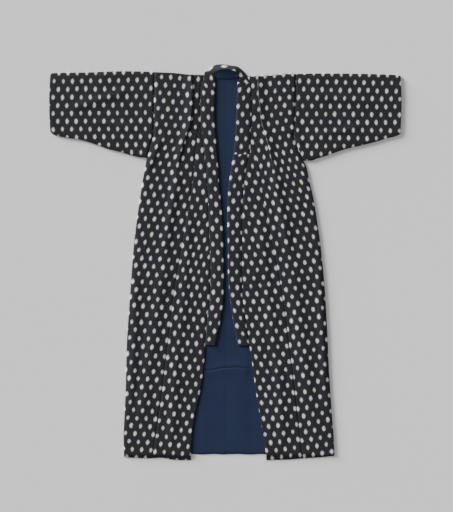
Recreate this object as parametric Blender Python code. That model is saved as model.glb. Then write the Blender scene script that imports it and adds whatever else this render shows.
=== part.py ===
"""A lined kimono laid flat, front up and open down the front, in metres with +Z up.

The garment rests on Z = 0 with its collar toward +Y. Every cut piece is a closed wall of cloth.
"""

import math
from typing import NamedTuple

import bmesh
import bpy

MM = 0.001

# Driving sizes of the cloth, in millimetres.
CLOTH = 2.0
LINING_CLOTH = 1.2
FACING_CLOTH = 1.2
COLLAR_THICK = 3.6
SEAM_GAP = 0.3

# Heights of the layers above the surface that the garment lies on, in millimetres.
BACK_MIDDLE = CLOTH / 2
LINING_MIDDLE = CLOTH + SEAM_GAP + LINING_CLOTH / 2
LINING_TOP = CLOTH + SEAM_GAP + LINING_CLOTH
FRONT_MIDDLE = LINING_TOP + SEAM_GAP + CLOTH / 2
COLLAR_UNDER = LINING_TOP + SEAM_GAP

# Folds along the edges: how far each rolls out, and how far the front turns under to the side seam.
SIDE_ROLL = 3.0
TURN_UNDER = 26.0
BACK_HEM = 1294.0
LINING_HEM = 1290.0
NECK_DEPTH = 15.0
UNDERARM_LEFT = 287.0
UNDERARM_RIGHT = 297.0
TUCK_RISE = 3.0
CREASE_RISE = 1.3

# The middle of the outline, out from the middle line and down from the shoulder line: the origin.
MIDDLE_ACROSS = 1.0
MIDDLE_DOWN = 641.5

# How the fronts fall to the floor past the back hem: how far on, and what share of the fall.
HEM_FALL = ((20.0, 1.0), (14.0, 0.9), (8.0, 0.45))
HEM_RUN = HEM_FALL[0][0]


class Front(NamedTuple):
    """One section across a front: places in millimetres out from the middle line."""

    down: float
    side: float
    tuck: float
    okumi: float
    collar: float
    opening: float


class Sleeve(NamedTuple):
    """One ring of a sleeve, in millimetres: out from the middle line, and down from the shoulder line."""

    across: float
    top: float
    under: float


class Neck(NamedTuple):
    """One section of the collar round the neck: its outer and inner edges and their heights."""

    outer_across: float
    outer_down: float
    inner_across: float
    inner_down: float
    outer_rise: float
    inner_rise: float


class Ridge(NamedTuple):
    """One soft fold that lifts the fronts, from its start to its end."""

    across: float
    down: float
    end_across: float
    end_down: float
    width: float
    rise: float


LEFT_FRONT = (
    Front(56, 243, 111, 84, 84, 34),
    Front(117, 244, 112, 85, 85, 35),
    Front(165, 245, 116, 83, 83, 35),
    Front(209, 247, 131, 93, 78, 32),
    Front(250, 258, 144, 98, 74, 29),
    Front(287, 266, 152, 102, 69, 26),
    Front(321, 272, 160, 105, 66, 23),
    Front(369, 281, 166, 110, 62, 20),
    Front(430, 290, 174, 119, 58, 14),
    Front(498, 300, 185, 132, 56, 9),
    Front(583, 310, 197, 146, 53, 6),
    Front(668, 317, 210, 161, 49, 4),
    Front(753, 323, 222, 174, 51, 5),
    Front(838, 329, 233, 184, 61, 15),
    Front(918, 334, 244, 194, 67, 32),
    Front(991, 336, 254, 204, 72, 72),
    Front(1076, 338, 265, 213, 84, 84),
    Front(1161, 342, 277, 225, 103, 103),
    Front(1239, 345, 287, 237, 113, 113),
    Front(1290, 344, 294, 245, 116, 116),
)

RIGHT_FRONT = (
    Front(56, 242, 112, 89, 89, 41),
    Front(117, 240, 119, 90, 90, 39),
    Front(165, 239, 124, 90, 90, 37),
    Front(209, 234, 137, 94, 87, 35),
    Front(250, 247, 148, 101, 87, 31),
    Front(297, 267, 158, 108, 78, 25),
    Front(321, 277, 165, 113, 73, 21),
    Front(369, 287, 175, 121, 66, 14),
    Front(430, 301, 184, 131, 61, 9),
    Front(498, 312, 197, 144, 59, 8),
    Front(583, 324, 212, 161, 58, 10),
    Front(668, 333, 227, 179, 57, 10),
    Front(753, 340, 241, 195, 59, 16),
    Front(838, 345, 253, 207, 71, 27),
    Front(918, 349, 262, 217, 82, 42),
    Front(991, 352, 270, 227, 93, 93),
    Front(1076, 357, 279, 237, 104, 104),
    Front(1161, 363, 290, 246, 118, 118),
    Front(1239, 369, 301, 255, 130, 130),
    Front(1290, 371, 308, 262, 139, 139),
)

LEFT_SLEEVE = (
    Sleeve(593.0, 1.0, 198),
    Sleeve(588.0, -0.5, 205),
    Sleeve(573.0, -1.5, 211),
    Sleeve(545.0, -2.2, 217),
    Sleeve(487.0, -3.0, 226),
    Sleeve(453.0, -3.8, 235),
    Sleeve(425.0, -5.0, 244),
    Sleeve(382.0, -6.5, 258),
    Sleeve(340.0, -7.5, 267),
    Sleeve(300.0, -7.0, 278),
    Sleeve(266.0, -6.0, 285),
    Sleeve(242.0, -4.5, 287),
)

RIGHT_SLEEVE = (
    Sleeve(595.0, 7.0, 206),
    Sleeve(590.0, 6.0, 209),
    Sleeve(575.0, 5.0, 215),
    Sleeve(556.0, 4.0, 219),
    Sleeve(513.0, 2.5, 232),
    Sleeve(469.0, 1.5, 243),
    Sleeve(405.0, 0.5, 257),
    Sleeve(365.0, 0.2, 269),
    Sleeve(326.0, 0.0, 281),
    Sleeve(290.0, 0.5, 290),
    Sleeve(271.0, 1.0, 296),
    Sleeve(240.0, 2.0, 297),
)

# Shoulder folds: how far each lies down from the shoulder line, from the neck out to the sleeve seam.
LEFT_SHOULDER = ((72.0, 5.5), (114.0, 4.4), (177.0, -1.7), (243.0, -4.5))
RIGHT_SHOULDER = ((77.0, 9.5), (122.0, 8.0), (166.0, 4.8), (226.0, 0.4), (242.0, 2.0))

NECK = (
    Neck(-74.8, 26.0, -34.0, 26.0, 0.0, 0.0),
    Neck(-71.4, 5.0, -34.0, 9.0, 0.0, 0.6),
    Neck(-69.0, -4.0, -33.0, 2.0, -1.0, 2.0),
    Neck(-60.0, -8.0, -30.5, -2.5, -1.8, 4.0),
    Neck(-53.0, -16.0, -27.0, -5.5, -2.4, 6.0),
    Neck(-41.0, -25.5, -20.0, -8.5, -2.8, 8.0),
    Neck(-27.0, -30.0, -11.0, -10.4, -2.8, 9.2),
    Neck(-12.0, -31.0, -3.0, -11.0, -2.8, 9.6),
    Neck(7.0, -29.0, 7.0, -10.8, -2.8, 9.6),
    Neck(22.0, -26.5, 17.0, -9.5, -2.8, 9.0),
    Neck(39.0, -24.5, 29.0, -7.0, -2.6, 7.5),
    Neck(53.0, -16.0, 38.0, -3.0, -2.4, 5.5),
    Neck(67.0, -2.0, 45.0, 4.0, -1.6, 3.5),
    Neck(76.6, 12.0, 48.5, 14.0, -0.4, 1.5),
    Neck(81.4, 30.0, 45.0, 30.0, 0.0, 0.3),
)

COLLAR_FOOT_LEFT = 922.0
COLLAR_FOOT_RIGHT = 924.0
CROSS_JOIN_LEFT = 271.0
CROSS_JOIN_RIGHT = 275.0
LEAST_STEP = 2.0

# The shoulder tuck: its step, how far it runs out across, and where it has faded away.
TUCK_STEP = 1.2
TUCK_NEAR = 12.0
TUCK_RUN = 30.0
TUCK_END = 350.0
TUCK_FADE = 90.0
FOLD_CALM = 12.0
SLEEVE_CALM = 14.0

# Where the side seam starts to wrap under, below the underarm, and the fan of rows round the back neck.
WRAP_RUN = 12.0
NECK_FAN = ((54.0, 9.5, 18.0), (34.0, 12.5, 34.0), (15.0, 14.5, 52.0), (SEAM_GAP / 2, NECK_DEPTH, 72.0))
BACK_ROWS_ABOVE = (117.0, 165.0, 209.0, 250.0)
BACK_ROWS_BELOW = (369.0, 498.0, 668.0, 838.0, 991.0, 1161.0, BACK_HEM)

# The lower edge: how far it rises toward the sides, and where that starts and ends.
HEM_RISE = {"left": 9.0, "right": 11.25}
HEM_RISE_FROM = 110.0
HEM_RISE_RUN = 230.0
HEM_DROP_START = 2.0
HEM_DROP_RUN = 15.0
OKUMI_START = 180.0

# The sleeve: the bow of its cuff and the least distance between its rings.
CUFF_BOW = 4.0
CUFF_SPAN = 200.0
RING_STEP = 3.0
ARMHOLE_TOP = 20.0
ARMHOLE_END = 400.0
UNDERARM_CLEAR = 10.0

# The lining: how far it stays inside the wrapped sides, and the sewn line across it near the foot.
LINING_CLEAR = TURN_UNDER + 9.0
LINING_NECK_UP = 4.0
LINING_SHOULDER_IN = 7.0
LINING_ROWS = (0.0, 60.0, 165.0, 287.0, 430.0, 583.0, 753.0, 918.0, 992.0, 997.0, 1002.0, 1010.0, 1040.0, 1161.0)
CREASE_DOWN = 1002.0
CREASE_WIDE = 9.0
CREASE_WAVE = 3.0
CREASE_PITCH = 22.0
CREASE_ACROSS = 70.0
CREASE_FADE = 20.0

# The facing inside the neck: which rows of the neck table it follows, and where its lower edge lies.
FACING_FIRST = 2
FACING_LAST = 13
FACING_INSET = 0.985
FACING_LEFT = -33.2
FACING_RIGHT = 44.0
FACING_END = 17.0
FACING_BOW = 2.5
FACING_LIFT = 1.0

# Plain colours of the solids, and how dull they are.
DOTTED_NAVY = (0.028, 0.029, 0.034)
INDIGO = (0.018, 0.034, 0.072)
PLAIN_NAVY = (0.014, 0.020, 0.034)
DULL = 0.9
SOFT = 0.85

LEFT_RIDGES = (
    Ridge(160, 321, 205, 610, 26, 3.2),
    Ridge(205, 640, 285, 1180, 34, 2.4),
    Ridge(120, 470, 150, 900, 24, 2.0),
    Ridge(300, 700, 318, 1130, 20, 2.0),
    Ridge(165, 930, 180, 1250, 26, 2.2),
    Ridge(215, 215, 262, 330, 16, 2.6),
    Ridge(330, 60, 520, 120, 24, 2.6),
    Ridge(300, 190, 440, 165, 18, 2.2),
)

RIGHT_RIDGES = (
    Ridge(165, 330, 215, 600, 26, 3.4),
    Ridge(150, 300, 232, 372, 11, 3.0),
    Ridge(160, 352, 262, 452, 12, 2.8),
    Ridge(222, 640, 292, 1160, 34, 2.4),
    Ridge(120, 500, 168, 930, 24, 2.0),
    Ridge(318, 640, 340, 1100, 20, 2.2),
    Ridge(180, 960, 196, 1250, 26, 2.2),
    Ridge(236, 238, 262, 232, 8, 3.4),
    Ridge(300, 70, 500, 105, 24, 2.4),
    Ridge(310, 215, 470, 180, 18, 2.2),
)


def clamp(value, low, high):
    """Return the value held between low and high."""
    return max(low, min(high, value))


def smooth(value):
    """Return 0 to 1 with soft ends for a value from 0 to 1."""
    value = clamp(value, 0.0, 1.0)
    return value * value * (3.0 - 2.0 * value)


def between(table, spot):
    """Return the value at one spot of a table of (spot, value) pairs in rising order."""
    if spot <= table[0][0]:
        return table[0][1]
    for low, high in zip(table, table[1:]):
        if spot <= high[0]:
            share = (spot - low[0]) / (high[0] - low[0])
            return low[1] + share * (high[1] - low[1])
    return table[-1][1]


def place(across, down, height):
    """Return a point in metres from its distances across, down and up in millimetres."""
    return ((across - MIDDLE_ACROSS) * MM, (MIDDLE_DOWN - down) * MM, height * MM)


class Half:
    """One half of the garment, with its tables and its side of the middle line."""

    def __init__(self, name, hand, front, sleeve, shoulder, ridges, underarm):
        self.name = name
        self.hand = hand
        self.front = front
        self.sleeve = sleeve
        self.shoulder = shoulder
        self.ridges = ridges
        self.underarm = underarm

    def edge(self, column, down):
        """Return the place of one named edge of the front at a distance down."""
        return between([(row.down, getattr(row, column)) for row in self.front], down)

    def shoulder_down(self, across):
        """Return how far down the shoulder fold lies at a place across."""
        return between(self.shoulder, across)

    def relief(self, across, down):
        """Return how far the soft folds lift the upper cloth at one place."""
        total = 0.0
        for ridge in self.ridges:
            along_across = ridge.end_across - ridge.across
            along_down = ridge.end_down - ridge.down
            length = math.hypot(along_across, along_down)
            off_across = across - ridge.across
            off_down = down - ridge.down
            share = (off_across * along_across + off_down * along_down) / length**2
            aside = abs(off_across * along_down - off_down * along_across) / length
            ends = smooth(share / 0.3 + 0.4) * smooth((1.0 - share) / 0.3 + 0.4)
            total += ridge.rise * ends * smooth(1.0 - aside / ridge.width)
        return total

    def point(self, across, down, height):
        """Return a point in metres from a place on this half."""
        return place(self.hand * across, down, height)


LEFT = Half("left", -1, LEFT_FRONT, LEFT_SLEEVE, LEFT_SHOULDER, LEFT_RIDGES, UNDERARM_LEFT)
RIGHT = Half("right", 1, RIGHT_FRONT, RIGHT_SLEEVE, RIGHT_SHOULDER, RIGHT_RIDGES, UNDERARM_RIGHT)


def material(name, colour, roughness):
    """Return a cloth material in one colour."""
    made = bpy.data.materials.new(name)
    made.use_nodes = True
    shader = made.node_tree.nodes["Principled BSDF"]
    shader.inputs["Base Color"].default_value = (*colour, 1.0)
    shader.inputs["Roughness"].default_value = roughness
    shader.inputs["Metallic"].default_value = 0.0
    return made


def add_object(name, points, faces, finish):
    """Add a closed mesh with its faces turned outward."""
    mesh = bpy.data.meshes.new(name)
    work = bmesh.new()
    corners = [work.verts.new(point) for point in points]
    for face in faces:
        work.faces.new([corners[index] for index in face])
    bmesh.ops.recalc_face_normals(work, faces=work.faces)
    if work.calc_volume(signed=True) < 0.0:
        bmesh.ops.reverse_faces(work, faces=work.faces)
    bmesh.ops.triangulate(work, faces=work.faces)
    work.to_mesh(mesh)
    work.free()
    mesh.materials.append(finish)
    made = bpy.data.objects.new(name, mesh)
    bpy.context.scene.collection.objects.link(made)
    return made


def add_wall(name, outer, inner, finish):
    """Add a wall of cloth between two grids of points, closed round its edge."""
    rows = len(outer)
    columns = len(outer[0])
    points = [point for row in outer for point in row] + [point for row in inner for point in row]
    below = rows * columns
    faces = []
    for row in range(rows - 1):
        for column in range(columns - 1):
            start = row * columns + column
            quad = (start, start + 1, start + columns + 1, start + columns)
            faces.append(quad)
            faces.append(tuple(below + index for index in reversed(quad)))
    rim = [column for column in range(columns)]
    rim += [row * columns + columns - 1 for row in range(1, rows)]
    rim += [(rows - 1) * columns + column for column in range(columns - 2, -1, -1)]
    rim += [row * columns for row in range(rows - 2, 0, -1)]
    for index, first in enumerate(rim):
        second = rim[(index + 1) % len(rim)]
        faces.append((first, second, below + second, below + first))
    return add_object(name, points, faces, finish)


def add_tube(name, rings, finish, inside=None):
    """Add a body through closed rings: capped, or hollow and open where it has inner rings."""
    count = len(rings[0])
    outer = [point for ring in rings for point in ring]
    inner = [point for ring in inside for point in ring] if inside else []
    faces = []
    for ring in range(len(rings) - 1):
        for index in range(count):
            after = (index + 1) % count
            low = ring * count
            high = low + count
            quad = (low + index, low + after, high + after, high + index)
            faces.append(quad)
            if inside:
                faces.append(tuple(len(outer) + corner for corner in reversed(quad)))
    last = (len(rings) - 1) * count
    if inside:
        for start in (0, last):
            for index in range(count):
                after = (index + 1) % count
                face = [start + index, start + after]
                face += [len(outer) + start + after, len(outer) + start + index]
                faces.append(face)
    else:
        faces.append(list(range(count)))
        faces.append([last + index for index in range(count)])
    return add_object(name, outer + inner, faces, finish)


def body_columns(half, down, okumi, side, tuck, wrap):
    """Return the section of a front: (across, height, out-across, out-up) from its seam to its side."""
    places = [okumi + SEAM_GAP / 2]
    places += [okumi + (tuck - okumi) * share for share in (0.3, 0.62)]
    places += [tuck - TUCK_STEP, tuck + TUCK_STEP, tuck + TUCK_NEAR, tuck + TUCK_RUN]
    last = side - SIDE_ROLL - CLOTH / 2
    places += [tuck + TUCK_RUN + (last - tuck - TUCK_RUN) * share for share in (0.25, 0.5, 0.75, 1.0)]
    fade = smooth((TUCK_END - down) / TUCK_FADE)
    heights = []
    for across in places:
        rise = half.relief(across, down) * smooth((side - across) / FOLD_CALM)
        from_tuck = across - tuck
        if 0.0 < from_tuck < TUCK_RUN:
            rise += TUCK_RISE * fade * (1.0 - from_tuck / TUCK_RUN)
        heights.append(FRONT_MIDDLE + rise)
    section = []
    for index, across in enumerate(places):
        before = max(index - 1, 0)
        after = min(index + 1, len(places) - 1)
        slope = (heights[after] - heights[before]) / (places[after] - places[before])
        length = math.hypot(1.0, slope)
        section.append((across, heights[index], -slope / length, 1.0 / length))
    middle = (FRONT_MIDDLE + BACK_MIDDLE) / 2
    tall = (FRONT_MIDDLE - BACK_MIDDLE) / 2
    for index, angle in enumerate((60.0, 30.0, 0.0, -45.0, -90.0)):
        turn = math.radians(angle)
        across = last + SIDE_ROLL * math.cos(turn)
        height = middle + tall * math.sin(turn)
        flat_across = last + (index + 1) * (side - SEAM_GAP / 2 - last) / 6
        section.append(
            (
                flat_across + wrap * (across - flat_across),
                FRONT_MIDDLE + wrap * (height - FRONT_MIDDLE),
                wrap * math.cos(turn),
                1.0 + wrap * (math.sin(turn) - 1.0),
            )
        )
    end = side - SEAM_GAP / 2
    section.append(
        (
            end + wrap * (side - TURN_UNDER - end),
            FRONT_MIDDLE + wrap * (BACK_MIDDLE - FRONT_MIDDLE),
            0.0,
            1.0 - 2.0 * wrap,
        )
    )
    return section


def make_body(half, finish):
    """Make one body panel: the front, its fold over the shoulder, and the back in one wall."""
    outer = []
    inner = []

    def add_row(section):
        over = []
        under = []
        for across, down, height, out_across, out_down, out_up in section:
            size = math.sqrt(out_across**2 + out_down**2 + out_up**2)
            step = CLOTH / 2 / size
            over.append(half.point(across + step * out_across, down + step * out_down, height + step * out_up))
            under.append(half.point(across - step * out_across, down - step * out_down, height - step * out_up))
        outer.append(over)
        inner.append(under)

    for extra, drop in HEM_FALL:
        section = body_columns(half, BACK_HEM, *front_edges(half, BACK_HEM), 1.0)
        hem = []
        for across, height, out_across, out_up in section:
            down = BACK_HEM + extra - hem_curve(half, across, extra)
            tilt = 0.5 * drop if out_up > 0.0 else 0.0
            hem.append((across, down, height - drop * (height - BACK_MIDDLE), out_across, tilt, out_up))
        add_row(hem)
    below = [row.down for row in half.front if row.down > half.underarm] + [half.underarm + WRAP_RUN]
    for down in sorted(below, reverse=True):
        section = body_columns(half, down, *front_edges(half, down), 1.0)
        add_row([(across, down, height, out_a, 0.0, out_u) for across, height, out_a, out_u in section])
    for row in sorted((row for row in half.front if row.down <= half.underarm), key=lambda row: -row.down):
        section = body_columns(half, row.down, row.okumi, row.side, row.tuck, 0.0)
        add_row([(across, row.down, height, out_a, 0.0, out_u) for across, height, out_a, out_u in section])
    top = half.front[0]
    neck = half.shoulder[0][0]
    seam = half.shoulder[-1][0]
    roll = (FRONT_MIDDLE - BACK_MIDDLE) / 2
    centre = (FRONT_MIDDLE + BACK_MIDDLE) / 2
    section = body_columns(half, top.down, neck, seam, top.tuck, 0.0)
    for angle in (90.0, 45.0, 0.0, -45.0, -90.0):
        turn = math.radians(angle)
        add_row(
            [
                (
                    across,
                    half.shoulder_down(across) + CLOTH / 2 + roll * (1.0 - math.cos(turn)),
                    centre + (height - centre) * math.sin(turn) if angle > 0 else centre + roll * math.sin(turn),
                    0.0,
                    -math.cos(turn),
                    math.sin(turn),
                )
                for across, height, _, _ in section
            ]
        )
    count = len(section)
    for across, neck_down, side_down in NECK_FAN:
        end = half.edge("side", side_down) - SEAM_GAP / 2
        shares = [index / (count - 1) for index in range(count)]
        add_row(
            [
                (
                    across + share * (end - across),
                    neck_down + share * (side_down - neck_down),
                    BACK_MIDDLE,
                    0.0,
                    0.0,
                    -1.0,
                )
                for share in shares
            ]
        )
    for down in (*BACK_ROWS_ABOVE, half.underarm, half.underarm + WRAP_RUN, *BACK_ROWS_BELOW):
        side = half.edge("side", down)
        end = side - SEAM_GAP / 2 if down <= half.underarm else side - TURN_UNDER - SEAM_GAP
        add_row(
            [
                (
                    SEAM_GAP / 2 + index / (count - 1) * (end - SEAM_GAP / 2),
                    down,
                    BACK_MIDDLE,
                    0.0,
                    0.0,
                    -1.0,
                )
                for index in range(count)
            ]
        )
    return add_wall(f"body_{half.name}", outer, inner, finish)


def front_edges(half, down):
    """Return the okumi seam, the side and the tuck at a distance down."""
    return half.edge("okumi", down), half.edge("side", down), half.edge("tuck", down)


def hem_curve(half, across, extra):
    """Return how far the lower edge lies above its lowest line, which it meets near the opening."""
    share = smooth((across - HEM_RISE_FROM) / HEM_RISE_RUN)
    return clamp(extra / HEM_RUN, 0.0, 1.0) * HEM_RISE[half.name] * share


def front_height(half, across, down):
    """Return the height of the middle of the upper cloth, which falls to the floor past the back hem."""
    rise = half.relief(across, down)
    drop = smooth((down - BACK_HEM - HEM_DROP_START) / HEM_DROP_RUN)
    return FRONT_MIDDLE + rise - drop * (FRONT_MIDDLE + rise - BACK_MIDDLE)


def make_okumi(half, finish):
    """Make one overlap panel, from its point under the collar to the hem."""
    outer = []
    inner = []
    downs = [OKUMI_START] + [row.down for row in half.front if row.down > OKUMI_START]
    downs += [BACK_HEM + extra for extra, _ in reversed(HEM_FALL)]
    for down in downs:
        out_edge = half.edge("okumi", down) - SEAM_GAP / 2
        in_edge = half.edge("collar", down)
        in_edge += SEAM_GAP / 2 if down < COLLAR_FOOT_LEFT else 0.0
        over = []
        under = []
        for share in (0.0, 0.12, 0.4, 0.7, 1.0):
            across = out_edge + share * (in_edge - out_edge)
            lift = hem_curve(half, across, clamp(down - BACK_HEM, 0.0, HEM_RUN))
            height = front_height(half, across, down)
            over.append(half.point(across, down - lift, height + CLOTH / 2))
            under.append(half.point(across, down - lift, height - CLOTH / 2))
        outer.append(over)
        inner.append(under)
    return add_wall(f"okumi_{half.name}", outer, inner, finish)


def make_sleeve(half, finish):
    """Make one sleeve: a flattened tube, open at the cuff and at the armhole."""
    outer = []
    inner = []
    roll = (FRONT_MIDDLE - BACK_MIDDLE) / 2
    centre = (FRONT_MIDDLE + BACK_MIDDLE) / 2
    cuff = half.sleeve[0].across
    for index, ring in enumerate(half.sleeve):
        over = []
        under = []
        for down, height, out_down, out_up in sleeve_section(half, ring, roll, centre):
            seam = half.edge("side", clamp(down, ARMHOLE_TOP, ARMHOLE_END)) + SEAM_GAP / 2
            share = (cuff - ring.across) / (cuff - half.sleeve[-1].across)
            bulge = CUFF_BOW * math.sin(math.pi * clamp(down / CUFF_SPAN, 0.0, 1.0)) * (1.0 - share) ** 3
            across = max(ring.across, seam + (len(half.sleeve) - 1 - index) * RING_STEP) if share < 1.0 else seam
            across += bulge
            rise = half.relief(across, down) * smooth(min(down - ring.top, ring.under - down) / SLEEVE_CALM)
            rise = rise if out_up > 0.5 else 0.0
            step = CLOTH / 2
            over.append(half.point(across, down + step * out_down, height + rise + step * out_up))
            under.append(half.point(across, down - step * out_down, height + rise - step * out_up))
        outer.append(over)
        inner.append(under)
    return add_tube(f"sleeve_{half.name}", outer, finish, inner)


def sleeve_section(half, ring, roll, centre):
    """Return one sleeve ring: (down, height, out-down, out-up), over the top, then back below."""
    high = ring.top + CLOTH / 2 + roll
    low = ring.under - CLOTH / 2 - roll
    section = []
    last = half.sleeve[-1]
    tall = last.under - last.top - CLOTH - 2 * roll
    inside = [row.down for row in half.front if row.down < half.underarm - UNDERARM_CLEAR]
    shares = [0.0] + [(down - last.top - CLOTH / 2 - roll) / tall for down in inside] + [1.0]
    for share in shares:
        section.append((high + share * (low - high), centre + roll, 0.0, 1.0))
    for angle in (45.0, 0.0, -45.0):
        turn = math.radians(angle)
        section.append((low + roll * math.cos(turn), centre + roll * math.sin(turn), math.cos(turn), math.sin(turn)))
    for share in reversed(shares):
        section.append((high + share * (low - high), centre - roll, 0.0, -1.0))
    for angle in (-45.0, 0.0, 45.0):
        turn = math.radians(angle)
        section.append((high - roll * math.cos(turn), centre + roll * math.sin(turn), -math.cos(turn), math.sin(turn)))
    return section


def make_lining(half, finish):
    """Make one half of the back lining, which lies between the back and the front."""
    outer = []
    inner = []
    for down in LINING_ROWS + (LINING_HEM,):
        over = []
        under = []
        for share in (0.0, 0.1, 0.22, 0.34, 0.5, 0.75, 1.0):
            end = half.edge("side", down) - LINING_CLEAR
            across = SEAM_GAP / 2 + share * (end - SEAM_GAP / 2)
            start = NECK_DEPTH - LINING_NECK_UP
            if across >= half.shoulder[0][0]:
                start = half.shoulder_down(across) + LINING_SHOULDER_IN
            along = start if down == 0.0 else down
            wave = CREASE_WAVE * math.sin(across / CREASE_PITCH)
            crease = CREASE_RISE * smooth(1.0 - abs(down - CREASE_DOWN) / CREASE_WIDE)
            crease *= smooth((CREASE_ACROSS - across) / CREASE_FADE)
            over.append(half.point(across, along + wave * (crease > 0.0), LINING_MIDDLE + crease + LINING_CLOTH / 2))
            under.append(half.point(across, along + wave * (crease > 0.0), LINING_MIDDLE - LINING_CLOTH / 2))
        outer.append(over)
        inner.append(under)
    return add_wall(f"lining_{half.name}", outer, inner, finish)


# The section of the folded band: share of the way from the seam edge to the free edge, share of its thickness.
BAND_SECTION = (
    (0.0, 0.18),
    (0.06, 0.0),
    (0.5, 0.0),
    (0.94, 0.0),
    (1.0, 0.3),
    (1.0, 0.7),
    (0.93, 0.98),
    (0.5, 1.05),
    (0.07, 0.92),
    (0.0, 0.6),
)


def collar_ring(outer_place, inner_place, outer_under, inner_under):
    """Return a closed ring round the folded band, from its seam edge to its free edge."""
    ring = []
    for share, level in BAND_SECTION:
        across = outer_place[0] + share * (inner_place[0] - outer_place[0])
        down = outer_place[1] + share * (inner_place[1] - outer_place[1])
        under = outer_under + share * (inner_under - outer_under)
        ring.append(place(across, down, under + level * COLLAR_THICK))
    return ring


def front_collar_ring(half, down):
    """Return the collar's ring at a distance down one front."""
    seam = half.edge("collar", down) - SEAM_GAP / 2
    free = collar_free_edge(half, down)
    hand = half.hand
    return collar_ring((hand * seam, down), (hand * free, down), COLLAR_UNDER, COLLAR_UNDER)


def collar_free_edge(half, down):
    """Return the collar's free edge, carried on to the collar's foot."""
    before, last = [row for row in half.front if row.opening < row.collar][-2:]
    if down <= before.down:
        return half.edge("opening", down)
    share = (down - before.down) / (last.down - before.down)
    return before.opening + share * (last.opening - before.opening)


def make_collar(finish):
    """Make the long band round the neck, from the cross join on the left front to the one on the right."""
    rings = []
    left_downs = [CROSS_JOIN_LEFT] + [row.down for row in reversed(LEFT.front) if row.down < CROSS_JOIN_LEFT]
    for down in left_downs:
        rings.append(front_collar_ring(LEFT, down))
    for row in NECK:
        rings.append(
            collar_ring(
                (row.outer_across, row.outer_down),
                (row.inner_across, row.inner_down),
                COLLAR_UNDER + row.outer_rise,
                COLLAR_UNDER + row.inner_rise,
            )
        )
    right_downs = [row.down for row in RIGHT.front if row.down < CROSS_JOIN_RIGHT] + [CROSS_JOIN_RIGHT]
    for down in right_downs:
        rings.append(front_collar_ring(RIGHT, down))
    return add_tube("collar", rings, finish)


def make_collar_end(half, join, foot, finish):
    """Make the band below the cross join on one front."""
    rows = [row.down for row in half.front if join + LEAST_STEP < row.down < foot - LEAST_STEP]
    rings = [front_collar_ring(half, down) for down in [join + SEAM_GAP] + rows + [foot]]
    return add_tube(f"collar_{half.name}_end", rings, finish)


def make_neck_facing(finish):
    """Make the facing inside the collar at the back neck, from the band's crest down to the lining."""
    outer = []
    inner = []
    rows = NECK[FACING_FIRST:FACING_LAST]
    for index, row in enumerate(rows):
        share = index / (len(rows) - 1)
        top_across = row.inner_across * FACING_INSET
        top_down = row.inner_down + FACING_CLOTH / 2
        low_across = FACING_LEFT + share * (FACING_RIGHT - FACING_LEFT)
        low_down = FACING_END + FACING_BOW * math.sin(math.pi * share)
        top_height = COLLAR_UNDER + row.inner_rise + FACING_CLOTH / 2 + FACING_LIFT
        low_height = COLLAR_UNDER + FACING_CLOTH / 2
        over = []
        under = []
        for step in (0.0, 0.3, 0.7, 1.0):
            fall = step**0.8
            across = top_across + step * (low_across - top_across)
            down = top_down + step * (low_down - top_down)
            height = top_height + fall * (low_height - top_height)
            over.append(place(across, down, height + FACING_CLOTH / 2))
            under.append(place(across, down, height - FACING_CLOTH / 2))
        outer.append(over)
        inner.append(under)
    return add_wall("neck_facing", outer, inner, finish)


def clear_scene():
    """Remove whatever the scene holds."""
    for old in list(bpy.data.objects):
        bpy.data.objects.remove(old, do_unlink=True)


def main():
    """Build the garment piece by piece."""
    clear_scene()
    for half in (LEFT, RIGHT):
        make_body(half, material(f"body_{half.name}_cotton", DOTTED_NAVY, DULL))
        make_okumi(half, material(f"okumi_{half.name}_cotton", DOTTED_NAVY, DULL))
        make_sleeve(half, material(f"sleeve_{half.name}_cotton", DOTTED_NAVY, DULL))
        make_lining(half, material(f"lining_{half.name}_cotton", INDIGO, SOFT))
    make_collar(material("collar_cotton", DOTTED_NAVY, DULL))
    make_collar_end(LEFT, CROSS_JOIN_LEFT, COLLAR_FOOT_LEFT, material("collar_left_end_cotton", DOTTED_NAVY, DULL))
    make_collar_end(RIGHT, CROSS_JOIN_RIGHT, COLLAR_FOOT_RIGHT, material("collar_right_end_cotton", DOTTED_NAVY, DULL))
    make_neck_facing(material("neck_facing_cotton", PLAIN_NAVY, DULL))


main()
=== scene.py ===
"""The looks of a lined kimono that lies flat, front up, open over its indigo lining.

Every cut piece is a thin shell of cloth on the form of its solid. The dotted cotton carries its own
lattice: each panel has two warp threads, and the staggered oval dots lie between them, so the pattern
leans, stretches and is cut at the seams with the cloth. The threads' places were measured from the
dots in the photo with a scratch program, as the report says. Lengths in the tables are millimetres
from the middle line and down from the shoulders.
"""

import logging
import math
from dataclasses import dataclass, field
from enum import Enum
from typing import Callable, NamedTuple

import bpy
import numpy as np
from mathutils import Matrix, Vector
from mathutils.bvhtree import BVHTree


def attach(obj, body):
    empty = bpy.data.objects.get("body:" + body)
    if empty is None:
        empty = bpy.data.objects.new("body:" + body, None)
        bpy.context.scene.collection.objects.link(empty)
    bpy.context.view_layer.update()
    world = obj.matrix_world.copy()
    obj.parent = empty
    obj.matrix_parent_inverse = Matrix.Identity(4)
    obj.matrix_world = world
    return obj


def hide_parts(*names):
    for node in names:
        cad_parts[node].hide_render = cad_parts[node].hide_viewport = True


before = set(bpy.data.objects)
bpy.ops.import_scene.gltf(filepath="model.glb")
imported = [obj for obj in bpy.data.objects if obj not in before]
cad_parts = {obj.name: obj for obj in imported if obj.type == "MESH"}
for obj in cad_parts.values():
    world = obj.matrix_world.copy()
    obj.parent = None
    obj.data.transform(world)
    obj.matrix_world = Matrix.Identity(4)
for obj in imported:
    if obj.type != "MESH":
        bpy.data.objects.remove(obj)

LOG = logging.getLogger("kimono")
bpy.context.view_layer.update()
MM = 0.001

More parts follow.
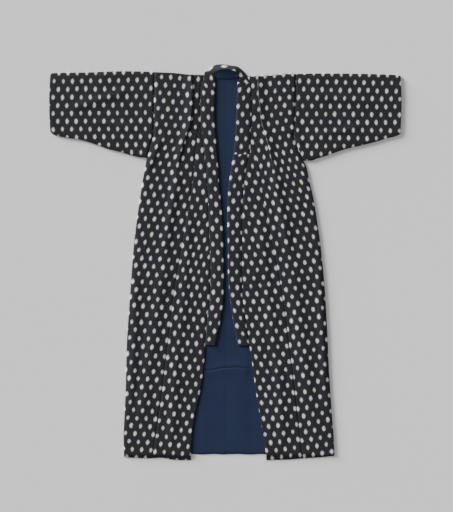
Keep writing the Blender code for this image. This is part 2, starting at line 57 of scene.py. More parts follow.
# Cloth and layers, as in the solids.
CLOTH = 1.9
LINING_CLOTH = 1.1
FACING_CLOTH = 1.1
COLLAR_THICK = 3.6
EDGE_TAPER = 0.45
SEAM_GAP = 0.12
LINING_GAP = 0.0
BACK_MIDDLE = 1.0
LINING_MIDDLE = 2.9
FRONT_MIDDLE = 4.8
COLLAR_UNDER = 3.8

# Edges and folds.
SIDE_ROLL = 3.0
TURN_UNDER = 26.0
BACK_HEM = 1294.0
LINING_HEM = 1290.0
HEM_WAVE_START = 1180.0
HEM_WAVE_RISE = 90.0
NECK_DEPTH = 15.0
RIDGE_SHARE = 0.7
SWELL_RISE = 0.55
PUCKER_RISE = 0.22
DITCH_WIDE = 2.5
SEAM_DITCH = 0.28
TUCK_RISE = 3.0
TUCK_RUN = 30.0
TUCK_END = 350.0
TUCK_FADE = 90.0
TUCK_CLOTH_END = 330.0
TUCK_CLOTH_FADE = 110.0
TUCK_STEPS = (-1.0, -0.35, 0.35, 1.2)
WRAP_RUN = 12.0
ARMHOLE_WIDE = 3.5
HEM_FALLS = (0.2, 0.42, 0.62, 0.8, 0.93, 1.0)
HEM_DROP = 1.05
SHARP_ANGLE = 50.0
CREASE_DOWN = 1002.0

# Where the sewn lines run, and how far they lie from their edges.
SEWN_STEP = 6.0
TUCK_SEWN = (60.0, 322.0)
TUCK_INSET = 2.4
HEM_SEWN = (262.0, 330.0)
HEM_INSET = 6.0
FRONT_SEWN_END = 238.0
EDGE_SEWN = (935.0, 1290.0)
EDGE_STEP = 8.0
EDGE_INSET = 3.0
CUFF_INSET = 7.0
FOOT_SEWN = (5.0, 112.0)

# The middle of the outline, where the frame has its origin.
MIDDLE_ACROSS = 1.0
MIDDLE_DOWN = 641.5

# The dot lattice: one column apart across the cloth, one pair of staggered rows along the warp.
DOT_COLUMN = 31.4
DOT_ROWS = 54.0
DOT_WIDE = 11.6
DOT_TALL = 17.5

# How the dots stray, grow, round off and fade, and which of them are cream.
DOT_JITTER = 1.6
DOT_SLIDE = 2.0
DOT_LEAST = 0.86
DOT_GROWTH = 0.22
DOT_SQUARENESS = 1.7
DOT_WANDER = 0.75
DOT_CORE = 0.42
DOT_RIM = 1.30
CREAM_ABOVE = 0.94


class Hand(Enum):
    """The side of the picture that a piece lies on."""

    LEFT = -1
    RIGHT = 1


class Held(Enum):
    LAID = "laid"
    FOLDED = "folded"


class Front(NamedTuple):
    """One section across a front."""

    down: float
    side: float
    tuck: float
    okumi: float
    collar: float
    opening: float


class Sleeve(NamedTuple):
    """One ring of a sleeve."""

    across: float
    top: float
    under: float


class Neck(NamedTuple):
    """One section of the collar round the neck."""

    outer_across: float
    outer_down: float
    inner_across: float
    inner_down: float
    outer_rise: float
    inner_rise: float


class Ridge(NamedTuple):
    """One soft fold that lifts the upper cloth."""

    across: float
    down: float
    end_across: float
    end_down: float
    width: float
    rise: float


class Thread(NamedTuple):
    """One place on a measured warp thread, counted in pairs of dot rows."""

    row: float
    across: float
    down: float


class Mark(NamedTuple):
    """One measured dot row on the over-collar."""

    row: float
    across: float
    down: float
    column: float


class EndDots(NamedTuple):
    """The dots of a collar end: its first full row, a column's distance from the seam, and the pitch."""

    first: float
    offset: float
    whole: float


FRONTS = {
    Hand.LEFT: (
        Front(56, 243, 111, 84, 84, 34),
        Front(117, 244, 112, 85, 85, 35),
        Front(165, 245, 116, 83, 83, 35),
        Front(209, 247, 131, 93, 78, 32),
        Front(250, 258, 144, 98, 74, 29),
        Front(287, 266, 152, 102, 69, 26),
        Front(321, 272, 160, 105, 66, 23),
        Front(369, 281, 166, 110, 62, 20),
        Front(430, 290, 174, 119, 58, 14),
        Front(498, 300, 185, 132, 56, 9),
        Front(583, 310, 197, 146, 53, 6),
        Front(668, 317, 210, 161, 49, 4),
        Front(753, 323, 222, 174, 51, 5),
        Front(838, 329, 233, 184, 61, 15),
        Front(918, 334, 244, 194, 67, 32),
        Front(991, 336, 254, 204, 72, 72),
        Front(1076, 338, 265, 213, 84, 84),
        Front(1161, 342, 277, 225, 103, 103),
        Front(1239, 345, 287, 237, 113, 113),
        Front(1290, 344, 294, 245, 116, 116),
    ),
    Hand.RIGHT: (
        Front(56, 242, 112, 89, 89, 41),
        Front(117, 240, 119, 90, 90, 39),
        Front(165, 239, 124, 90, 90, 37),
        Front(209, 234, 137, 94, 87, 35),
        Front(250, 247, 148, 101, 87, 31),
        Front(297, 267, 158, 108, 78, 25),
        Front(321, 277, 165, 113, 73, 21),
        Front(369, 287, 175, 121, 66, 14),
        Front(430, 301, 184, 131, 61, 9),
        Front(498, 312, 197, 144, 59, 8),
        Front(583, 324, 212, 161, 58, 10),
        Front(668, 333, 227, 179, 57, 10),
        Front(753, 340, 241, 195, 59, 16),
        Front(838, 345, 253, 207, 71, 27),
        Front(918, 349, 262, 217, 82, 42),
        Front(991, 352, 270, 227, 93, 93),
        Front(1076, 357, 279, 237, 104, 104),
        Front(1161, 363, 290, 246, 118, 118),
        Front(1239, 369, 301, 255, 130, 130),
        Front(1290, 371, 308, 262, 139, 139),
    ),
}

SLEEVES = {
    Hand.LEFT: (
        Sleeve(593.0, 1.0, 198),
        Sleeve(588.0, -0.5, 205),
        Sleeve(573.0, -1.5, 211),
        Sleeve(545.0, -2.2, 217),
        Sleeve(487.0, -3.0, 226),
        Sleeve(453.0, -3.8, 235),
        Sleeve(425.0, -5.0, 244),
        Sleeve(382.0, -6.5, 258),
        Sleeve(340.0, -7.5, 267),
        Sleeve(300.0, -7.0, 278),
        Sleeve(266.0, -6.0, 285),
        Sleeve(242.0, -4.5, 287),
    ),
    Hand.RIGHT: (
        Sleeve(595.0, 7.0, 206),
        Sleeve(590.0, 6.0, 209),
        Sleeve(575.0, 5.0, 215),
        Sleeve(556.0, 4.0, 219),
        Sleeve(513.0, 2.5, 232),
        Sleeve(469.0, 1.5, 243),
        Sleeve(405.0, 0.5, 257),
        Sleeve(365.0, 0.2, 269),
        Sleeve(326.0, 0.0, 281),
        Sleeve(290.0, 0.5, 290),
        Sleeve(271.0, 1.0, 296),
        Sleeve(240.0, 2.0, 297),
    ),
}

UNDERARMS = {Hand.LEFT: 287.0, Hand.RIGHT: 297.0}

SHOULDERS = {
    Hand.LEFT: ((72.0, 5.5), (114.0, 4.4), (177.0, -1.7), (243.0, -4.5)),
    Hand.RIGHT: ((77.0, 9.5), (122.0, 8.0), (166.0, 4.8), (226.0, 0.4), (242.0, 2.0)),
}

HEMS = {
    Hand.LEFT: (
        (116.0, 1314.0),
        (153.0, 1314.0),
        (190.0, 1311.0),
        (215.0, 1306.0),
        (264.0, 1308.0),
        (334.0, 1305.0),
    ),
    Hand.RIGHT: ((143.0, 1314.0), (217.0, 1312.0), (267.0, 1308.0), (318.0, 1305.0), (368.0, 1300.0)),
}

NECK = (
    Neck(-74.8, 26.0, -34.0, 26.0, 0.0, 0.0),
    Neck(-71.4, 5.0, -34.0, 9.0, 0.0, 0.6),
    Neck(-69.0, -4.0, -33.0, 2.0, -1.0, 2.0),
    Neck(-60.0, -8.0, -30.5, -2.5, -1.8, 4.0),
    Neck(-53.0, -16.0, -27.0, -5.5, -2.4, 6.0),
    Neck(-41.0, -25.5, -20.0, -8.5, -2.8, 8.0),
    Neck(-27.0, -30.0, -11.0, -10.4, -2.8, 9.2),
    Neck(-12.0, -31.0, -3.0, -11.0, -2.8, 9.6),
    Neck(7.0, -29.0, 7.0, -10.8, -2.8, 9.6),
    Neck(22.0, -26.5, 17.0, -9.5, -2.8, 9.0),
    Neck(39.0, -24.5, 29.0, -7.0, -2.6, 7.5),
    Neck(53.0, -16.0, 38.0, -3.0, -2.4, 5.5),
    Neck(67.0, -2.0, 45.0, 4.0, -1.6, 3.5),
    Neck(76.6, 12.0, 48.5, 14.0, -0.4, 1.5),
    Neck(81.4, 30.0, 45.0, 30.0, 0.0, 0.3),
)

COLLAR_FOOT = {Hand.LEFT: 922.0, Hand.RIGHT: 924.0}
COLLAR_HEAD = {Hand.LEFT: 27.0, Hand.RIGHT: 32.0}
CROSS_JOIN = {Hand.LEFT: 271.0, Hand.RIGHT: 275.0}

RIDGES = {
    Hand.LEFT: (
        Ridge(160, 321, 205, 610, 26, 3.2),
        Ridge(205, 640, 285, 1180, 34, 2.4),
        Ridge(120, 470, 150, 900, 24, 2.0),
        Ridge(300, 700, 318, 1130, 20, 2.0),
        Ridge(165, 930, 180, 1250, 26, 2.2),
        Ridge(215, 215, 262, 330, 16, 2.6),
        Ridge(330, 60, 520, 120, 24, 2.6),
        Ridge(300, 190, 440, 165, 18, 2.2),
    ),
    Hand.RIGHT: (
        Ridge(165, 330, 215, 600, 26, 3.4),
        Ridge(150, 300, 232, 372, 11, 3.0),
        Ridge(160, 352, 262, 452, 12, 2.8),
        Ridge(222, 640, 292, 1160, 34, 2.4),
        Ridge(120, 500, 168, 930, 24, 2.0),
        Ridge(318, 640, 340, 1100, 20, 2.2),
        Ridge(180, 960, 196, 1250, 26, 2.2),
        Ridge(236, 238, 262, 232, 8, 3.4),
        Ridge(300, 70, 500, 105, 24, 2.4),
        Ridge(310, 215, 470, 180, 18, 2.2),
    ),
}

# Measured warp threads of each panel, the inner one first, and the dot columns between the two.
BODY_THREADS = {
    Hand.LEFT: (
        (
            Thread(0, 90.6, 21),
            Thread(2, 99.8, 130),
            Thread(3, 101.5, 182),
            Thread(4, 106.6, 236),
            Thread(5, 112.7, 291),
            Thread(6, 118.5, 343),
            Thread(8, 138.6, 449),
            Thread(10, 158.3, 555),
            Thread(12, 181.1, 661),
            Thread(14, 195.7, 769),
            Thread(16, 209.3, 878),
            Thread(18, 223.9, 987),
            Thread(20, 239.9, 1094),
            Thread(23, 263.3, 1253),
        ),
        (
            Thread(0, 184.8, 14),
            Thread(2, 195.0, 122),
            Thread(3, 200.8, 175),
            Thread(4, 210.6, 227),
            Thread(5, 227.0, 278),
            Thread(6, 241.2, 330),
            Thread(8, 259.9, 438),
            Thread(10, 280.3, 546),
            Thread(12, 303.1, 653),
            Thread(14, 321.1, 760),
            Thread(16, 335.4, 869),
            Thread(18, 349.4, 978),
            Thread(20, 365.3, 1086),
            Thread(23, 388.8, 1245),
        ),
    ),
    Hand.RIGHT: (
        (
            Thread(0, 109.0, 13),
            Thread(2, 114.8, 123),
            Thread(3, 114.1, 179),
            Thread(4, 122.9, 231),
            Thread(5, 131.8, 285),
            Thread(6, 137.9, 339),
            Thread(8, 163.0, 439),
            Thread(10, 185.1, 549),
            Thread(12, 209.3, 654),
            Thread(14, 227.3, 758),
            Thread(16, 243.9, 865),
            Thread(18, 257.2, 972),
            Thread(20, 271.2, 1080),
            Thread(23, 292.6, 1242),
        ),
        (
            Thread(0.5, 184.1, 33),
            Thread(2.5, 188.9, 138),
            Thread(3.5, 196.4, 190),
            Thread(4.5, 205.5, 242),
            Thread(5.5, 219.5, 295),
            Thread(6.5, 236.8, 346),
            Thread(8.5, 271.8, 449),
            Thread(10.5, 298.7, 555),
            Thread(12.5, 322.2, 662),
            Thread(14.5, 341.9, 767),
            Thread(16.5, 357.0, 875),
            Thread(18.5, 370.5, 982),
            Thread(20.5, 385.9, 1088),
            Thread(22.5, 398.3, 1195),
        ),
    ),
}

BODY_COLUMNS = {Hand.LEFT: 4.0, Hand.RIGHT: 3.5}
OKUMI_COLUMNS = {Hand.LEFT: 2.0, Hand.RIGHT: 1.0}
SLEEVE_COLUMNS = 10.0

# The right inner thread is the outer one moved inward by 31.3 mm and down by about 4 mm.
OKUMI_THREADS = {
    Hand.LEFT: (
        (
            Thread(0, 8.0, 358),
            Thread(1, 12.0, 409),
            Thread(3, 28.0, 516),
            Thread(5, 54.5, 624),
            Thread(7, 67.9, 730),
            Thread(9, 76.0, 838),
            Thread(11, 84.2, 947),
            Thread(13, 98.5, 1055),
            Thread(15, 112.0, 1163),
            Thread(17, 126.0, 1266),
        ),
        (
            Thread(0, 69.5, 348),
            Thread(1, 74.0, 403),
            Thread(3, 89.3, 510),
            Thread(5, 107.3, 617),
            Thread(7, 124.3, 724),
            Thread(9, 136.9, 832),
            Thread(11, 145.4, 941),
            Thread(13, 159.6, 1048),
            Thread(15, 172.9, 1156),
            Thread(17, 187.2, 1261),
        ),
    ),
    Hand.RIGHT: (
        (
            Thread(0, 50.8, 349),
            Thread(1, 60.7, 403),
            Thread(3, 82.4, 509),
            Thread(5, 101.8, 616),
            Thread(7, 118.1, 720),
            Thread(9, 136.8, 825),
            Thread(11, 147.4, 932),
            Thread(13, 162.0, 1038),
            Thread(15, 174.6, 1143),
            Thread(17, 185.5, 1250),
        ),
        (
            Thread(0, 82.1, 345),
            Thread(1, 92.0, 399),
            Thread(3, 113.7, 506),
            Thread(5, 133.1, 612),
            Thread(7, 149.4, 716),
            Thread(9, 168.1, 821),
            Thread(11, 178.7, 929),
            Thread(13, 193.3, 1034),
            Thread(15, 205.9, 1140),
            Thread(17, 216.8, 1246),
        ),
    ),
}

SLEEVE_THREADS = {
    Hand.LEFT: (
        (Thread(0, 267.1, 23), Thread(2, 271.2, 134), Thread(5, 271.2, 296)),
        (Thread(0, 580.6, 28), Thread(2, 583.6, 137), Thread(5, 580.0, 299)),
    ),
    Hand.RIGHT: (
        (Thread(0, 252.5, 27), Thread(2, 247.0, 138), Thread(5, 247.0, 300)),
        (Thread(0, 566.0, 34), Thread(2, 560.5, 141), Thread(5, 560.5, 303)),
    ),
}


# Measured dots of the over-collar: the row, a place on the band's middle line, and a full column's
# distance from the band's outer edge, which is below nought where that edge is turned under.
COLLAR_MARKS = (
    Mark(-3, -54, 230, 11.0),
    Mark(-2, -58, 177, 11.0),
    Mark(-1, -60, 122, 11.0),
    Mark(0, -59, 67, 11.0),
    Mark(0.5, -58, 39, 2.0),
    Mark(1, -53, 15, -5.9),
    Mark(2, -5, -20, -21.4),
    Mark(2.5, 35, -16, -28.1),
    Mark(3, 61, 7, -12.7),
    Mark(3.5, 63, 29.6, -3.8),
    Mark(4, 65, 57, 7.8),
    Mark(5, 64, 112.5, 14.0),
    Mark(6, 63, 167, 15.5),
    Mark(7, 61, 221, 16.0),
)
COLLAR_END_DOTS = {Hand.LEFT: EndDots(312.0, 11.5, 53.9), Hand.RIGHT: EndDots(304.0, 17.0, 53.0)}


def place(across: float, down: float, height: float) -> tuple[float, float, float]:
    """Return a point in metres from its distances in millimetres."""
    return ((across - MIDDLE_ACROSS) * MM, (MIDDLE_DOWN - down) * MM, height * MM)


def smooth(value: np.ndarray | float) -> np.ndarray:
    """Return 0 to 1 with soft ends."""
    value = np.clip(value, 0.0, 1.0)
    return value * value * (3.0 - 2.0 * value)


class Curve:
    """A soft curve through a short table, with no overshoot between its rows."""

    def __init__(self, spots: list[float], values: list[float]) -> None:
        """Keep the table and work out its slopes.

        Args:
            spots: Places in rising order.
            values: The value at each place.
        """
        self.spots = np.array(spots, float)
        self.values = np.array(values, float)
        widths = np.diff(self.spots)
        rises = np.diff(self.values) / widths
        slopes = np.zeros(len(self.spots))
        slopes[0] = rises[0]
        slopes[-1] = rises[-1]
        for index in range(1, len(rises)):
            before, after = rises[index - 1], rises[index]
            if before * after > 0.0:
                slopes[index] = 2.0 * before * after / (before + after)
        self.slopes = slopes

    def __call__(self, spot: np.ndarray | float) -> np.ndarray:
        """Return the value at a place, carried straight on past the ends."""
        spot = np.asarray(spot, float)
        index = np.clip(np.searchsorted(self.spots, spot) - 1, 0, len(self.spots) - 2)
        width = self.spots[index + 1] - self.spots[index]
        share = np.clip((spot - self.spots[index]) / width, 0.0, 1.0)
        low, high = self.values[index], self.values[index + 1]
        first, second = self.slopes[index] * width, self.slopes[index + 1] * width
        inside = (
            low * (1 + 2 * share) * (1 - share) ** 2
            + first * share * (1 - share) ** 2
            + high * share**2 * (3 - 2 * share)
            + second * share**2 * (share - 1)
        )
        before = np.minimum(spot - self.spots[0], 0.0) * self.slopes[0]
        after = np.maximum(spot - self.spots[-1], 0.0) * self.slopes[-1]
        return inside + before + after


class SoftNoise:
    """Seeded soft noise over the cloth, the same each time."""

    def __init__(self, seed: int, wide: float, tall: float) -> None:
        """Set the noise's seed and the size of its swells in millimetres."""
        self.values = np.random.RandomState(seed).uniform(-1.0, 1.0, (64, 64))
        self.wide = wide
        self.tall = tall

    def __call__(self, across: np.ndarray, down: np.ndarray) -> np.ndarray:
        """Return the noise, from -1 to 1, at places on the cloth."""
        column = np.asarray(across, float) / self.wide + 17.0
        row = np.asarray(down, float) / self.tall + 17.0
        left = np.floor(column).astype(int)
        top = np.floor(row).astype(int)
        along, below = smooth(column - left), smooth(row - top)
        upper = self.at(top, left) * (1 - along) + self.at(top, left + 1) * along
        lower = self.at(top + 1, left) * (1 - along) + self.at(top + 1, left + 1) * along
        return upper * (1 - below) + lower * below

    def at(self, row: np.ndarray, column: np.ndarray) -> np.ndarray:
        """Return the seeded value at whole rows and columns."""
        return self.values[np.mod(row, 64), np.mod(column, 64)]


def hem_wave(across: np.ndarray, down: np.ndarray | float) -> np.ndarray:
    """Return how far the back's hem and its lining wave down at signed places across."""
    dip = 1.2 * np.exp(-(((across - 11.0) / 9.0) ** 2))
    return smooth((down - HEM_WAVE_START) / HEM_WAVE_RISE) * (0.9 * np.sin(across / 13.0 + 1.4) - dip)


class Half:
    """One half of the garment: its edges as soft curves and its relief."""

    def __init__(self, hand: Hand) -> None:
        """Read the tables of one hand."""
        rows = FRONTS[hand]
        downs = [row.down for row in rows]
        self.hand = hand
        self.side_word = hand.name.lower()
        self.edges = {name: Curve(downs, [getattr(row, name) for row in rows]) for name in Front._fields[1:]}
        feet = [row for row in rows if row.opening < row.collar]
        self.opening = Curve([row.down for row in feet], [row.opening for row in feet])
        self.seam = Curve([-40.0] + downs[:8], [rows[0].side] + [row.side for row in rows[:8]])
        shoulder = SHOULDERS[hand]
        self.shoulder = Curve([spot for spot, _ in shoulder], [down for _, down in shoulder])
        self.neck_across = shoulder[0][0]
        self.seam_across = shoulder[-1][0]
        hem = HEMS[hand]
        self.hem = Curve([spot for spot, _ in hem], [down for _, down in hem])
        self.underarm = UNDERARMS[hand]
        seed = 11 if hand is Hand.LEFT else 23
        self.swell = SoftNoise(seed, 52.0, 170.0)
        self.pucker = SoftNoise(seed + 1, 17.0, 34.0)

    def relief(self, across: np.ndarray, down: np.ndarray) -> np.ndarray:
        """Return how far folds and small puckers lift the upper cloth.

        Args:
            across: Places out from the middle line.
            down: Places down from the shoulders.

        Returns:
            The lift in millimetres at each place.
        """
        across = np.asarray(across, float)
        down = np.asarray(down, float)
        total = np.zeros(np.broadcast(across, down).shape)
        for ridge in RIDGES[self.hand]:
            run_across = ridge.end_across - ridge.across
            run_down = ridge.end_down - ridge.down
            length = math.hypot(run_across, run_down)
            off_across, off_down = across - ridge.across, down - ridge.down
            share = (off_across * run_across + off_down * run_down) / length**2
            aside = np.abs(off_across * run_down - off_down * run_across) / length
            ends = smooth(share / 0.3 + 0.4) * smooth((1.0 - share) / 0.3 + 0.4)
            total += RIDGE_SHARE * ridge.rise * ends * smooth(1.0 - aside / ridge.width)
        total += SWELL_RISE * (1.0 + self.swell(across, down))
        total += PUCKER_RISE * (1.0 + self.pucker(across, down))
        return total


class Lattice:
    """Where the dots lie on a panel, between two measured warp threads."""

    def __init__(self, threads: tuple[tuple[Thread, ...], tuple[Thread, ...]], columns: float) -> None:
        """Turn the two threads into curves.

        Args:
            threads: The inner thread and the outer thread.
            columns: How many dot columns lie between them.
        """
        self.columns = columns
        self.rows = [Curve([t.down for t in line], [t.row for t in line]) for line in threads]
        self.across = [Curve([t.down for t in line], [t.across for t in line]) for line in threads]

    def __call__(
        self, across: np.ndarray, down: np.ndarray, past_tuck: np.ndarray | None = None
    ) -> np.ndarray:
        """Return lattice coordinates (column, row) of places on the cloth.

        Args:
            across: Places out from the middle line.
            down: Places down from the shoulders.
            past_tuck: 0 on the neck side of the tuck and 1 past it, with 0.5 where no tuck hides cloth.

        Returns:
            One column and one row number for each place.
        """
        inner, outer = self.across[0](down), self.across[1](down)
        share = (across - inner) / (outer - inner)
        column = share * self.columns
        if past_tuck is not None:
            near = (across - inner) / DOT_COLUMN
            far = self.columns + (across - outer) / DOT_COLUMN
            cut = np.where(past_tuck > 0.5, far, near)
            held = smooth((TUCK_CLOTH_END - down) / TUCK_CLOTH_FADE)
            column = column + held * (cut - column)
        reach = np.clip(share, -0.9, 1.6)
        row = self.rows[0](down) * (1.0 - reach) + self.rows[1](down) * reach
        return np.stack([column, row], axis=-1)


class Shell:
    """A cloth wall made from the grid of its middle surface."""

    def __init__(
        self, name: str, middle: np.ndarray, lattice: np.ndarray, thick: float, seam_taper: float = EDGE_TAPER
    ) -> None:
        """Keep what the wall is made from.

        Args:
            name: The piece's name.
            middle: Rows by columns by 3, in millimetres in the garment's own places.
            lattice: Rows by columns by 2, the cloth coordinates.
            thick: The wall's thickness.
            seam_taper: The share of the thickness left along the first column, where a seam lies.
        """
        self.name = name
        self.seam_taper = seam_taper
        self.middle = middle
        self.lattice = lattice
        self.thick = thick

    def normals(self) -> np.ndarray:
        """Return the unit normals of the middle surface, upward where the grid starts."""
        along = np.gradient(self.middle, axis=0)
        over = np.gradient(self.middle, axis=1)
        normal = np.cross(over, along)
        normal /= np.maximum(np.linalg.norm(normal, axis=-1, keepdims=True), 1e-9)
        return -normal if normal[1:8, 1:12, 2].mean() < 0.0 else normal

    def build(self, finishes: list[bpy.types.Material]) -> bpy.types.Object:
        """Make the closed wall with a softly rounded edge.

        Args:
            finishes: The material of the outer face and that of the inner face.

        Returns:
            The finished object.
        """
        rows, columns = self.middle.shape[:2]
        taper = np.ones((rows, columns))
        taper[0, :] = taper[-1, :] = EDGE_TAPER
        taper[:, -1] = EDGE_TAPER
        taper[:, 0] = self.seam_taper
        step = (self.thick / 2 * taper)[..., None] * self.normals()
        points = np.concatenate([(self.middle + step).reshape(-1, 3), (self.middle - step).reshape(-1, 3)])
        grid = np.arange(rows * columns).reshape(rows, columns)
        quads = np.stack([grid[:-1, :-1], grid[:-1, 1:], grid[1:, 1:], grid[1:, :-1]], axis=-1).reshape(-1, 4)
        rim = np.concatenate([grid[0, :], grid[1:, -1], grid[-1, -2::-1], grid[-2:0:-1, 0]])
        after = np.roll(rim, -1)
        below = rows * columns
        edge = np.stack([after, rim, rim + below, after + below], axis=-1)
        faces = np.concatenate([quads, quads[:, ::-1] + below, edge])
        slots = np.concatenate([np.zeros(len(quads)), np.ones(len(quads)), np.zeros(len(edge))]).astype(int)
        lattice = np.concatenate([self.lattice.reshape(-1, 2)] * 2)
        return add_mesh(self.name, points, faces, slots, lattice, finishes)


def add_mesh(
    name: str,
    points: np.ndarray,
    faces: np.ndarray,
    slots: np.ndarray,
    lattice: np.ndarray,
    finishes: list[bpy.types.Material],
) -> bpy.types.Object:
    """Add a mesh with its cloth coordinates and finishes.

    Args:
        name: The object's name.
        points: Points in millimetres: across, down, height.
        faces: Quads as point numbers.
        slots: The material slot of each face.
        lattice: The cloth coordinates of each point.
        finishes: The materials in the order of their slots.

    Returns:
        The new object, at the origin.
    """
    world = np.empty_like(points)
    world[:, 0] = (points[:, 0] - MIDDLE_ACROSS) * MM
    world[:, 1] = (MIDDLE_DOWN - points[:, 1]) * MM
    world[:, 2] = np.maximum(points[:, 2], 0.0) * MM
    corners = world[faces]
    volume = np.einsum("ij,ij->i", corners[:, 0], np.cross(corners[:, 1], corners[:, 2])).sum()
    volume += np.einsum("ij,ij->i", corners[:, 0], np.cross(corners[:, 2], corners[:, 3])).sum()
    if volume < 0.0:
        faces = faces[:, ::-1]
    mesh = bpy.data.meshes.new(name)
    mesh.from_pydata(world.tolist(), [], faces.tolist())
    loops = np.empty(len(mesh.loops), np.int32)
    mesh.loops.foreach_get("vertex_index", loops)
    cloth = mesh.uv_layers.new(name="cloth")
    cloth.data.foreach_set("uv", lattice[loops].astype(np.float32).ravel())
    mesh.polygons.foreach_set("material_index", slots.astype(np.int32))
    mesh.polygons.foreach_set("use_smooth", np.ones(len(faces), bool))
    for finish in finishes:
        mesh.materials.append(finish)
    mesh.validate()
    mesh.set_sharp_from_angle(angle=math.radians(SHARP_ANGLE))
    made = bpy.data.objects.new(name, mesh)
    bpy.context.scene.collection.objects.link(made)
    return made


class Nodes:
    """A short way to lay out a node tree."""

    def __init__(self, tree: bpy.types.NodeTree) -> None:
        """Keep the tree."""
        self.tree = tree

    def add(self, kind: str, **settings: object) -> bpy.types.Node:
        """Add a node and set its properties."""
        node = self.tree.nodes.new(kind)
        for key, value in settings.items():
            setattr(node, key, value)
        return node

    def link(self, source: object, target: object) -> None:
        """Join two sockets, or set the target to a constant."""
        if isinstance(source, bpy.types.NodeSocket):
            self.tree.links.new(source, target)
        else:
            target.default_value = source

    def math(self, operation: str, *values: object) -> bpy.types.NodeSocket:
        """Add a Math node on its inputs and return its output."""
        node = self.add("ShaderNodeMath", operation=operation)
        for socket, value in zip(node.inputs, values):
            self.link(value, socket)
        return node.outputs[0]

    def vector(self, operation: str, *values: object) -> bpy.types.NodeSocket:
        """Add a Vector Math node and return its vector output."""
        node = self.add("ShaderNodeVectorMath", operation=operation)
        for socket, value in zip(node.inputs, values):
            self.link(value, socket)
        return node.outputs[0]

    def ramp(self, value: object, low: float, high: float) -> bpy.types.NodeSocket:
        """Return 0 to 1 with soft ends as a value goes from low to high."""
        node = self.add("ShaderNodeMapRange", interpolation_type="SMOOTHSTEP")
        self.link(value, node.inputs["Value"])
        node.inputs["From Min"].default_value = low
        node.inputs["From Max"].default_value = high
        return node.outputs["Result"]

    def noise(
        self, vector: object, scale: float, detail: float = 2.0, rough: float = 0.5
    ) -> bpy.types.NodeSocket:
        """Return a noise value over a vector."""
        node = self.add("ShaderNodeTexNoise")
        self.link(vector, node.inputs["Vector"])
        node.inputs["Scale"].default_value = scale
        node.inputs["Detail"].default_value = detail
        node.inputs["Roughness"].default_value = rough
        return node.outputs["Fac"]

    def mix(self, factor: object, first: object, second: object) -> bpy.types.NodeSocket:
        """Mix two colours and return the result."""
        node = self.add("ShaderNodeMix", data_type="RGBA")
        self.link(factor, node.inputs[0])
        self.link(first, node.inputs[6])
        self.link(second, node.inputs[7])
        return node.outputs[2]


def new_group(name: str, inputs: dict[str, str], outputs: dict[str, str]) -> tuple[bpy.types.NodeTree, Nodes]:
    """Make an empty shader group with named sockets.

    Args:
        name: The group's name.
        inputs: Socket names and types.
        outputs: Socket names and types.

    Returns:
        The group and its layout helper.
    """
    group = bpy.data.node_groups.new(name, "ShaderNodeTree")
    for label, kind in inputs.items():
        group.interface.new_socket(label, in_out="INPUT", socket_type=kind)
    for label, kind in outputs.items():
        group.interface.new_socket(label, in_out="OUTPUT", socket_type=kind)
    return group, Nodes(group)


